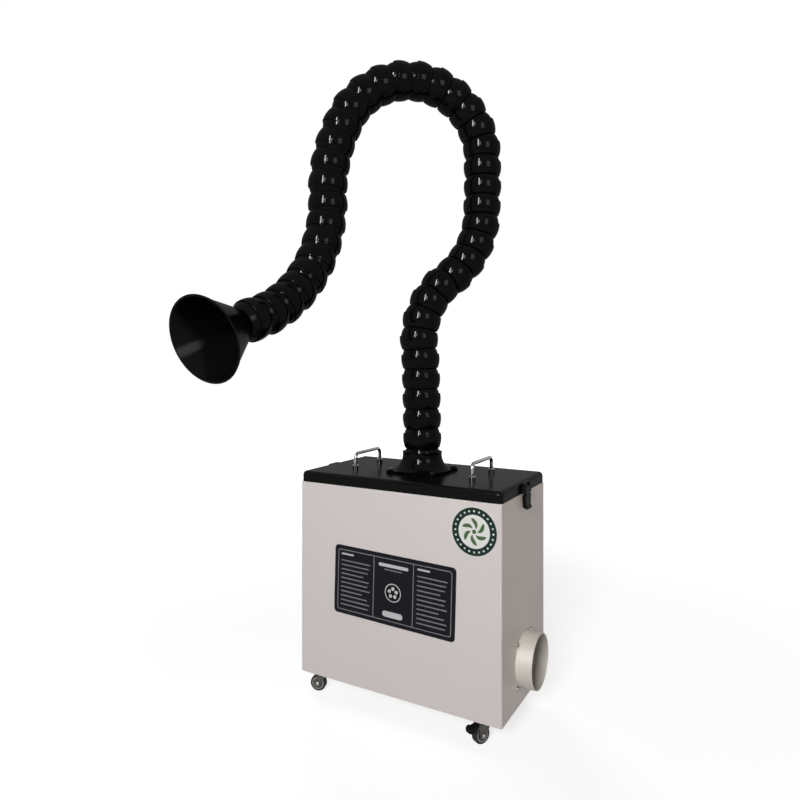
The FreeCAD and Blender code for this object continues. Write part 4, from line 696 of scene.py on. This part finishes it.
class EXTRACTOR_OT_filters(Step, bpy.types.Operator):
    """Framed filters, and a soft fleece mat on top of them"""
    bl_idname = "extractor.filters"
    bl_label = "Filters"

    columns: IntProperty(name="Columns", description="Points along the mat", default=72, min=8)
    rows: IntProperty(name="Rows", description="Points across the mat", default=40, min=8)

    # Room that the mat leaves under and over it, and how far its top rises and falls
    ROOM_UNDER, ROOM_OVER = 0.2 * MM, 1.2 * MM
    LOFT, LOFT_SCALE = 1.0 * MM, 38.0
    # Fall, gap and number of the octaves of that noise
    OCTAVES = (1.0, 2.0, 3)
    # The bottom is drawn in less than the top
    BOTTOM_DROP = 0.5

    def execute(self, context):
        dress("Filter paper", "particle_filter")
        dress("Carbon granules", "carbon_filter")
        mat = self.mat(context.scene.extractor_sizes.mat_edge)
        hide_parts("prefilter_mat")
        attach(mat, "cabinet")
        return {"FINISHED"}

    def mat(self, edge):
        """A bottom and a top sheet of points, joined along their rims."""
        bm = bmesh.new()
        span = MAT_HIGH - MAT_LOW
        xs = [MAT_LOW.x + span.x * i / self.columns for i in range(self.columns + 1)]
        ys = [MAT_LOW.y + span.y * j / self.rows for j in range(self.rows + 1)]
        sheets = [[[bm.verts.new((x, y, self.level(x, y, top, edge))) for x in xs] for y in ys]
                  for top in (False, True)]
        for sheet in sheets:
            for low, high in zip(sheet, sheet[1:]):
                for corners in zip(low, low[1:], high[1:], high):
                    bm.faces.new(corners)
        add_walls(bm, *(self.rim(sheet) for sheet in sheets))
        return new_object("filter_mat", bm, "Filter fleece")

    def level(self, x, y, top, edge):
        """Height of the mat's skin: lofty in the middle, drawn in along the edges."""
        reach = min(x - MAT_LOW.x, MAT_HIGH.x - x, y - MAT_LOW.y, MAT_HIGH.y - y)
        inward = max(0.0, edge - reach)
        drop = edge - math.sqrt(edge ** 2 - inward ** 2)
        if not top:
            return MAT_LOW.z + self.ROOM_UNDER + drop * self.BOTTOM_DROP
        loft = noise.fractal(Vector((x, y, 0)) * self.LOFT_SCALE, *self.OCTAVES)
        return MAT_HIGH.z - self.ROOM_OVER - drop + loft * self.LOFT

    def rim(self, sheet):
        """The outline of a grid of points, anticlockwise."""
        right = [line[-1] for line in sheet[1:-1]]
        left = [line[0] for line in sheet[-2:0:-1]]
        return sheet[0] + right + sheet[-1][::-1] + left


class EXTRACTOR_OT_seal(Step, bpy.types.Operator):
    """A foam seal with a rounded top, laid round the cabinet's opening"""
    bl_idname = "extractor.seal"
    bl_label = "Seal"

    # Section of the seal, as shares of its width and height
    SECTION = (
        (0.0, 0.0), (0.0, 0.55), (0.14, 0.86), (0.35, 1.0),
        (0.65, 1.0), (0.86, 0.86), (1.0, 0.55), (1.0, 0.0),
    )
    OUTER_CORNER, LEAST_CORNER = 9 * MM, 3 * MM

    def execute(self, context):
        width = context.scene.extractor_sizes.seal_width
        height = SEAL_HIGH.z - SEAL_LOW.z
        bm = bmesh.new()
        loops = []
        for share, rise in self.SECTION:
            inset = width * share
            outline = rounded_points(
                SEAL_LOW.x + inset, SEAL_LOW.y + inset, SEAL_HIGH.x - inset, SEAL_HIGH.y - inset,
                max(self.LEAST_CORNER, self.OUTER_CORNER - inset))
            loops.append(add_loop(bm, outline, SEAL_LOW.z + height * rise))
        add_band(bm, loops)
        seal = new_object("foam_seal", bm, "Seal foam")
        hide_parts("lid_gasket")
        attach(seal, "cabinet")
        return {"FINISHED"}


class EXTRACTOR_OT_controls(Step, bpy.types.Operator):
    """Inlet, switch and speed knob on the back, with plain printed marks"""
    bl_idname = "extractor.controls"
    bl_label = "Controls"

    ticks: IntProperty(name="Ticks", description="Marks round the speed knob", default=11, min=3)

    # The dial starts low on the left and runs clockwise, in degrees
    DIAL_START, DIAL_SWEEP = 225, 270
    # Ticks of the dial: half a width, and where they start and end outside the knob
    TICK_HALF, TICK_START = 0.45 * MM, 2.5 * MM
    TICK_END, LONG_TICK_END, LONG_TICK_EVERY = 5.0 * MM, 6.5 * MM, 5
    # The pointer: its ends from the knob's middle, half its width, and its depths in the groove
    POINTER_START, POINTER_END, POINTER_HALF = 0.8 * MM, 8.2 * MM, 0.4 * MM
    POINTER_FOOT, POINTER_TOP = -0.6 * MM, -0.25 * MM
    RING_STEPS = 32
    # Faces of the rocker that point at least this far back are pressed
    PRESSED_NORMAL = 0.7

    def execute(self, context):
        size = context.scene.extractor_sizes
        dress("Fitting plastic", "power_inlet", "switch_bezel", "speed_knob")
        dress("Zinc plating", "speed_control")
        dress("Rocker plastic", "power_rocker")
        middle = (KNOB_LOW + KNOB_HIGH) / 2
        self.dial(size, middle)
        self.pointer(middle)
        self.switch_marks(size)
        return {"FINISHED"}

    def dial(self, size, middle):
        """Plain ticks round the knob."""
        bm = bmesh.new()
        reach = (KNOB_HIGH.x - KNOB_LOW.x) / 2
        for tick in range(self.ticks):
            turn = math.radians(self.DIAL_START - self.DIAL_SWEEP * tick / (self.ticks - 1))
            along = Vector((math.cos(turn), math.sin(turn)))
            across = Vector((-along.y, along.x)) * self.TICK_HALF
            end = self.TICK_END if tick % self.LONG_TICK_EVERY else self.LONG_TICK_END
            inner = along * (reach + self.TICK_START)
            outer = along * (reach + end)
            points = [tuple(p) for p in (inner - across, outer - across, outer + across, inner + across)]
            add_prism(bm, points, 0, size.print_height)
        dial = new_object("dial_marks", bm, "Dial print")
        dial.data.transform(on_face(*BACK, (middle.x, SHELL_HIGH.y, middle.z)))
        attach(dial, "cabinet")

    def pointer(self, middle):
        """A pale line in the knob's groove."""
        bm = bmesh.new()
        add_bar(bm, self.POINTER_START, -self.POINTER_HALF, self.POINTER_END, self.POINTER_HALF,
                self.POINTER_FOOT, self.POINTER_TOP)
        line = new_object("pointer_line", bm, "Pointer print")
        turn = Matrix.Rotation(math.radians(self.DIAL_START), 4, "Z")
        line.data.transform(on_face(*BACK, (middle.x, KNOB_HIGH.y, middle.z)) @ turn)
        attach(line, "knob")

    def switch_marks(self, size):
        """A plain line and a plain ring on the two halves of the rocker."""
        half = size.mark_size / 2
        line = size.mark_line
        height = size.print_height
        bm = bmesh.new()
        add_bar(bm, -line / 2, -half, line / 2, half, -height, height)
        stroke = new_object("rocker_line", bm, "Rocker print")
        bm = bmesh.new()
        add_hoop(bm, half, half - line, self.RING_STEPS, -height, height)
        ring = new_object("rocker_ring", bm, "Rocker print")
        for piece, up in ((stroke, 1), (ring, -1)):
            piece.data.transform(self.on_rocker(up))
            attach(piece, "rocker")

    def on_rocker(self, up):
        """The middle of the rocker's upper or lower face, as the frame's own faces give it."""
        middle = (ROCKER_LOW.z + ROCKER_HIGH.z) / 2
        chosen = [face for face in NODES["power_rocker"].data.polygons
                  if face.normal.y > self.PRESSED_NORMAL and (face.center.z - middle) * up > 0]
        area = sum(face.area for face in chosen)
        normal = sum((face.normal * face.area for face in chosen), Vector()).normalized()
        centre = sum((face.center * face.area for face in chosen), Vector()) / area
        return on_face(BACK[0], normal, centre)


class EXTRACTOR_OT_front_plate(Step, bpy.types.Operator):
    """A black front plate with a pale frame, plain ruled lines and a ring with dots"""
    bl_idname = "extractor.front_plate"
    bl_label = "Front plate"

    lines: IntProperty(name="Lines", description="Ruled lines in each side column", default=11, min=1)

    # Places of the two inks among the plate's materials
    DIM, PALE = 1, 2
    BEVEL, MARGIN = 0.2 * MM, 6 * MM
    # Rounding of the printed frame as a share of the plate's
    FRAME_CORNER = 0.6
    # Ends of the three columns' print, in columns from the left and right edges
    DIVIDERS, SIDE_ENDS, CENTRE_ENDS = (1.03, 0.99), (0.95, 0.90), (1.15, 1.11)
    # Ruled lines: half a line and the first line's place in steps, the heading in half lines
    LINE_HALF, FIRST_LINE = 0.13, 1.6
    HEADING_RISE, HEADING_DROP, HEADING_LENGTH = 0.6, 2.4, 0.42
    # A line's length as a share of its column, and by how much some are shorter
    LINE_LENGTH, LAST_WORDS, RAGGED_EDGE = 0.98, 0.22, 0.04
    # Bars over the ring and the block under it, from the top and bottom of the print
    TITLE = (9 * MM, 3 * MM)
    RULE, RULE_INSET = (15 * MM, 13 * MM), 0.2
    BLOCK_HEIGHT, BLOCK_INSET = 11 * MM, 0.16
    # The ring as shares of its column, its inside and its dots as shares of its radius
    RING_UP, RING_RADIUS, RING_INSIDE, RING_STEPS = 0.46, 0.27, 0.9, 48
    DOTS, DOT_REACH, DOT_RADIUS, DOT_STEPS = 5, 0.45, 0.2, 20

    def execute(self, context):
        size = context.scene.extractor_sizes
        bm = bmesh.new()
        right = size.plate_width / 2
        high = size.plate_height / 2
        left, low = -right, -high
        top = size.plate_thickness
        levels = (top * PRINT_ROOT, top + size.print_height)
        outline = rounded_points(left, low, right, high, size.plate_corner)
        add_prism(bm, outline, 0, top, bevel=self.BEVEL)
        inset = size.frame_inset
        line = size.frame_line
        corner = size.plate_corner * self.FRAME_CORNER
        outer = rounded_points(left + inset, low + inset, right - inset, high - inset, corner)
        inset += line
        corner -= line * self.FRAME_CORNER
        inner = rounded_points(left + inset, low + inset, right - inset, high - inset, corner)
        add_ring(bm, outer, inner, *levels, self.DIM)
        column = (right - left) / 3
        for divider in (left + column * self.DIVIDERS[0], right - column * self.DIVIDERS[1]):
            add_bar(bm, divider - line / 2, low + inset, divider + line / 2, high - inset, *levels, self.DIM)
        margin = inset + self.MARGIN
        low += margin
        high -= margin
        self.ruled(bm, left + margin, left + column * self.SIDE_ENDS[0], low, high, levels)
        self.ruled(bm, right - column * self.SIDE_ENDS[1], right - margin, low, high, levels)
        start, end = left + column * self.CENTRE_ENDS[0], right - column * self.CENTRE_ENDS[1]
        self.centre(bm, start, end, low, high, levels)
        plate = new_object("front_plate", bm, "Plate black", "Dim print", "Pale print")
        lean = Matrix.Rotation(size.plate_lean, 4, "Z")
        plate.data.transform(on_face(*FRONT, (size.plate_x, SHELL_LOW.y, size.plate_z)) @ lean)
        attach(plate, "cabinet")
        return {"FINISHED"}

    def ruled(self, bm, start, end, low, high, levels):
        """A short heading bar over plain lines of different lengths."""
        width = end - start
        step = (high - low) / (self.lines + 1)
        half = step * self.LINE_HALF
        add_bar(bm, start, high - self.HEADING_DROP * half, start + width * self.HEADING_LENGTH,
                high + self.HEADING_RISE * half, *levels, self.PALE)
        for number in range(self.lines):
            z = high - (number + self.FIRST_LINE) * step
            share = self.LINE_LENGTH - self.LAST_WORDS * (number % 4 == 3) - self.RAGGED_EDGE * (number % 3)
            add_bar(bm, start, z - half, start + width * share, z + half, *levels, self.DIM)

    def centre(self, bm, start, end, low, high, levels):
        """A title bar and a rule, a plain ring with dots and a plain block below it."""
        width = end - start
        inset = width * self.RULE_INSET
        add_bar(bm, start, high - self.TITLE[0], end, high - self.TITLE[1], *levels, self.PALE)
        add_bar(bm, start + inset, high - self.RULE[0], end - inset, high - self.RULE[1], *levels, self.DIM)
        middle = ((start + end) / 2, low + (high - low) * self.RING_UP)
        radius = width * self.RING_RADIUS
        add_hoop(bm, radius, radius * self.RING_INSIDE, self.RING_STEPS, *levels, self.PALE, middle)
        for foot in circle_points(radius * self.DOT_REACH, self.DOTS, middle, math.pi / 2):
            add_prism(bm, circle_points(radius * self.DOT_RADIUS, self.DOT_STEPS, foot), *levels, self.PALE)
        inset = width * self.BLOCK_INSET
        add_bar(bm, start + inset, low, end - inset, low + self.BLOCK_HEIGHT, *levels, self.PALE)


class EXTRACTOR_OT_sticker(Step, bpy.types.Operator):
    """A round sticker: a dark green ring with dots round a pale field with a plain rotor"""
    bl_idname = "extractor.sticker"
    bl_label = "Round sticker"

    dots: IntProperty(name="Dots", description="Dots round the ring", default=24, min=3)
    vanes: IntProperty(name="Vanes", description="Vanes of the rotor", default=6, min=2)

    # Places of the two inks among the sticker's materials
    GREEN, LEAF = 1, 2
    THICKNESS = 0.15 * MM
    # Shares of the sticker's radius
    DISC_RADIUS, RING_INSIDE, BOSS_RADIUS = 1.01, 0.70, 0.09
    DOT_REACH, DOT_RADIUS = 0.85, 0.042
    VANE_START, VANE_LENGTH = 0.16, 0.40
    # A vane's turn from its start to its end and half its width at the widest, in radians
    VANE_SWEEP, VANE_HALF = 0.7, 0.27
    # The part of a sine that gives a vane its width, in half turns
    SINE_START, SINE_LENGTH = 0.12, 0.80
    DISC_STEPS, BOSS_STEPS, DOT_STEPS, VANE_STEPS = 96, 24, 16, 8

    def execute(self, context):
        size = context.scene.extractor_sizes
        bm = bmesh.new()
        radius = size.sticker_radius
        base = self.THICKNESS
        ink = base + size.print_height
        root = base * PRINT_ROOT
        add_prism(bm, circle_points(radius * self.DISC_RADIUS, self.DISC_STEPS), 0, base)
        add_hoop(bm, radius, radius * self.RING_INSIDE, self.DISC_STEPS, root, ink, self.GREEN)
        for foot in circle_points(radius * self.DOT_REACH, self.dots):
            dot = circle_points(radius * self.DOT_RADIUS, self.DOT_STEPS, foot)
            add_prism(bm, dot, ink * PRINT_ROOT, ink + size.print_height)
        for vane in range(self.vanes):
            turn = 2 * math.pi * vane / self.vanes
            add_prism(bm, self.vane(radius, turn), root, ink, self.LEAF)
        add_prism(bm, circle_points(radius * self.BOSS_RADIUS, self.BOSS_STEPS), root, ink, self.LEAF)
        sticker = new_object("round_sticker", bm, "Sticker field", "Sticker green", "Sticker light green")
        sticker.data.transform(on_face(*FRONT, (size.sticker_x, SHELL_LOW.y, size.sticker_z)))
        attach(sticker, "cabinet")
        return {"FINISHED"}

    def vane(self, radius, turn):
        """Points of one curved vane of the rotor: out along one side and back along the other."""
        shares = [step / self.VANE_STEPS for step in range(self.VANE_STEPS + 1)]
        points = []
        for side, way in ((1, shares), (-1, shares[::-1])):
            for share in way:
                reach = radius * (self.VANE_START + self.VANE_LENGTH * share)
                half = self.VANE_HALF * math.sin(math.pi * (self.SINE_START + self.SINE_LENGTH * share))
                angle = turn + share * self.VANE_SWEEP + side * half
                points.append((reach * math.cos(angle), reach * math.sin(angle)))
        return points


class EXTRACTOR_OT_stage(Step, bpy.types.Operator):
    """Pale floor, soft light and a level camera"""
    bl_idname = "extractor.stage"
    bl_label = "Stage"

    # Name, place, width, height and colour of each lamp, and the kind of ray that doesn't meet it
    LAMPS = (
        ("key", (0.65, -3.3, 1.9), 0.9, 0.9, (1.0, 0.985, 0.985), None),
        ("spark", (0.2, -3.4, 2.1), 0.28, 2.0, (1.0, 1.0, 1.0), "diffuse"),
        ("side", (2.9, -1.6, 1.6), 1.1, 1.4, (1.0, 1.0, 1.0), "diffuse"),
        ("fill", (2.8, -0.3, 1.2), 0.9, 1.2, (1.0, 0.64, 0.38), "glossy"),
        ("back", (-2.4, 3.0, 2.0), 1.6, 1.6, (1.0, 0.985, 0.97), "glossy"),
    )
    LAMP_TARGET = (0, 0, 0.55)
    FLOOR_REACH, FLOOR_GAP = 12.0, 0.3 * MM
    FLOOR = {"Base Color": (0.50, 0.50, 0.50, 1), "Roughness": 0.9, "Specular IOR Level": 0.0,
             "Emission Color": WHITE}
    # Metres between which the floor's own white rises, and its levels there
    FLOOR_FADE = (("From Min", 0.3), ("From Max", 2.6), ("To Min", 0.73), ("To Max", 0.98))
    SENSOR_WIDTH, CLIP_START, CLIP_END = 36.0, 0.05, 60.0

    def execute(self, context):
        settings = context.scene.extractor_stage
        self.floor()
        self.sky(settings.sky_level)
        for name, *values in self.LAMPS:
            self.lamp(name, getattr(settings, name + "_power"), *values)
        self.camera(settings)
        context.scene.view_settings.view_transform = "Standard"
        return {"FINISHED"}

    def floor(self):
        bm = bmesh.new()
        corners = ((-1, -1), (1, -1), (1, 1), (-1, 1))
        bm.faces.new(add_loop(bm, [(x * self.FLOOR_REACH, y * self.FLOOR_REACH) for x, y in corners], 0))
        floor = new_object("floor", bm)
        floor.data.materials.append(self.floor_material())
        floor.location.z = CAD_LOW.z - self.FLOOR_GAP

    def floor_material(self):
        """A matt sheet that fades to plain white away from the cabinet, and that still takes a shadow."""
        material, tree, shader = new_material("Floor white", self.FLOOR)
        away = tree.nodes.new("ShaderNodeVectorMath")
        away.operation = "LENGTH"
        feed(tree, tree.nodes.new("ShaderNodeNewGeometry").outputs["Position"], away.inputs[0])
        rise = tree.nodes.new("ShaderNodeMapRange")
        rise.interpolation_type = "SMOOTHSTEP"
        for label, value in (("Value", away.outputs["Value"]), *self.FLOOR_FADE):
            feed(tree, value, rise.inputs[label])
        glow = add_math(tree, "MULTIPLY", add_seen(tree), rise.outputs["Result"])
        feed(tree, glow, shader.inputs["Emission Strength"])
        return material

    def sky(self, level):
        """Even light, and a white background for what the camera and shiny parts see."""
        world = bpy.data.worlds.new("Studio")
        bpy.context.scene.world = world
        world.use_nodes = True
        tree = world.node_tree
        background = tree.nodes["Background"]
        background.inputs["Color"].default_value = WHITE
        strength = add_math(tree, "MULTIPLY_ADD", add_seen(tree), 1.0 - level, level)
        feed(tree, strength, background.inputs["Strength"])

    def lamp(self, name, power, place, width, height, colour, unmet_by):
        """A lamp that the camera doesn't see, turned to the middle of the object."""
        light = bpy.data.lights.new(name, "AREA")
        light.color = colour
        light.shape = "RECTANGLE"
        light.size = width
        light.size_y = height
        light.energy = power
        lamp = bpy.data.objects.new(name, light)
        lamp.location = place
        lamp.rotation_euler = (Vector(self.LAMP_TARGET) - Vector(place)).to_track_quat("-Z", "Y").to_euler()
        lamp.visible_camera = False
        lamp.visible_diffuse = unmet_by != "diffuse"
        lamp.visible_glossy = unmet_by != "glossy"
        bpy.context.scene.collection.objects.link(lamp)

    def camera(self, settings):
        data = bpy.data.cameras.new("camera")
        data.lens = settings.camera_lens
        data.sensor_width = self.SENSOR_WIDTH
        data.shift_y = settings.camera_shift
        data.clip_start = self.CLIP_START
        data.clip_end = self.CLIP_END
        camera = bpy.data.objects.new("camera", data)
        camera.location = settings.camera_place
        camera.rotation_euler = (math.radians(90), 0, settings.camera_turn)
        bpy.context.scene.collection.objects.link(camera)
        bpy.context.scene.camera = camera


SETTINGS = {
    "extractor_colours": ExtractorColours,
    "extractor_sizes": ExtractorSizes,
    "extractor_stage": ExtractorStage,
}
OPERATORS = (
    EXTRACTOR_OT_cabinet, EXTRACTOR_OT_lid, EXTRACTOR_OT_latches, EXTRACTOR_OT_arm, EXTRACTOR_OT_casters,
    EXTRACTOR_OT_fan, EXTRACTOR_OT_filters, EXTRACTOR_OT_seal, EXTRACTOR_OT_controls,
    EXTRACTOR_OT_front_plate, EXTRACTOR_OT_sticker, EXTRACTOR_OT_stage,
)


class EXTRACTOR_PT_panel(bpy.types.Panel):
    """Lists the steps that dress the extractor, and their settings"""
    bl_idname = "EXTRACTOR_PT_panel"
    bl_label = "Fume extractor"
    bl_space_type = "VIEW_3D"
    bl_region_type = "UI"
    bl_category = "Extractor"

    def draw(self, context):
        for operator in OPERATORS:
            self.layout.operator(operator.bl_idname)
        for name, group in SETTINGS.items():
            box = self.layout.box()
            for setting in group.__annotations__:
                box.prop(getattr(context.scene, name), setting)


CLASSES = (*SETTINGS.values(), *OPERATORS, EXTRACTOR_PT_panel)


def register():
    for item in CLASSES:
        bpy.utils.register_class(item)
    for name, group in SETTINGS.items():
        setattr(bpy.types.Scene, name, PointerProperty(type=group))


def unregister():
    for name in SETTINGS:
        delattr(bpy.types.Scene, name)
    for item in reversed(CLASSES):
        bpy.utils.unregister_class(item)


def main():
    register()
    for operator in OPERATORS:
        group, name = operator.bl_idname.split(".")
        getattr(getattr(bpy.ops, group), name)()


if __name__ == "__main__":
    main()
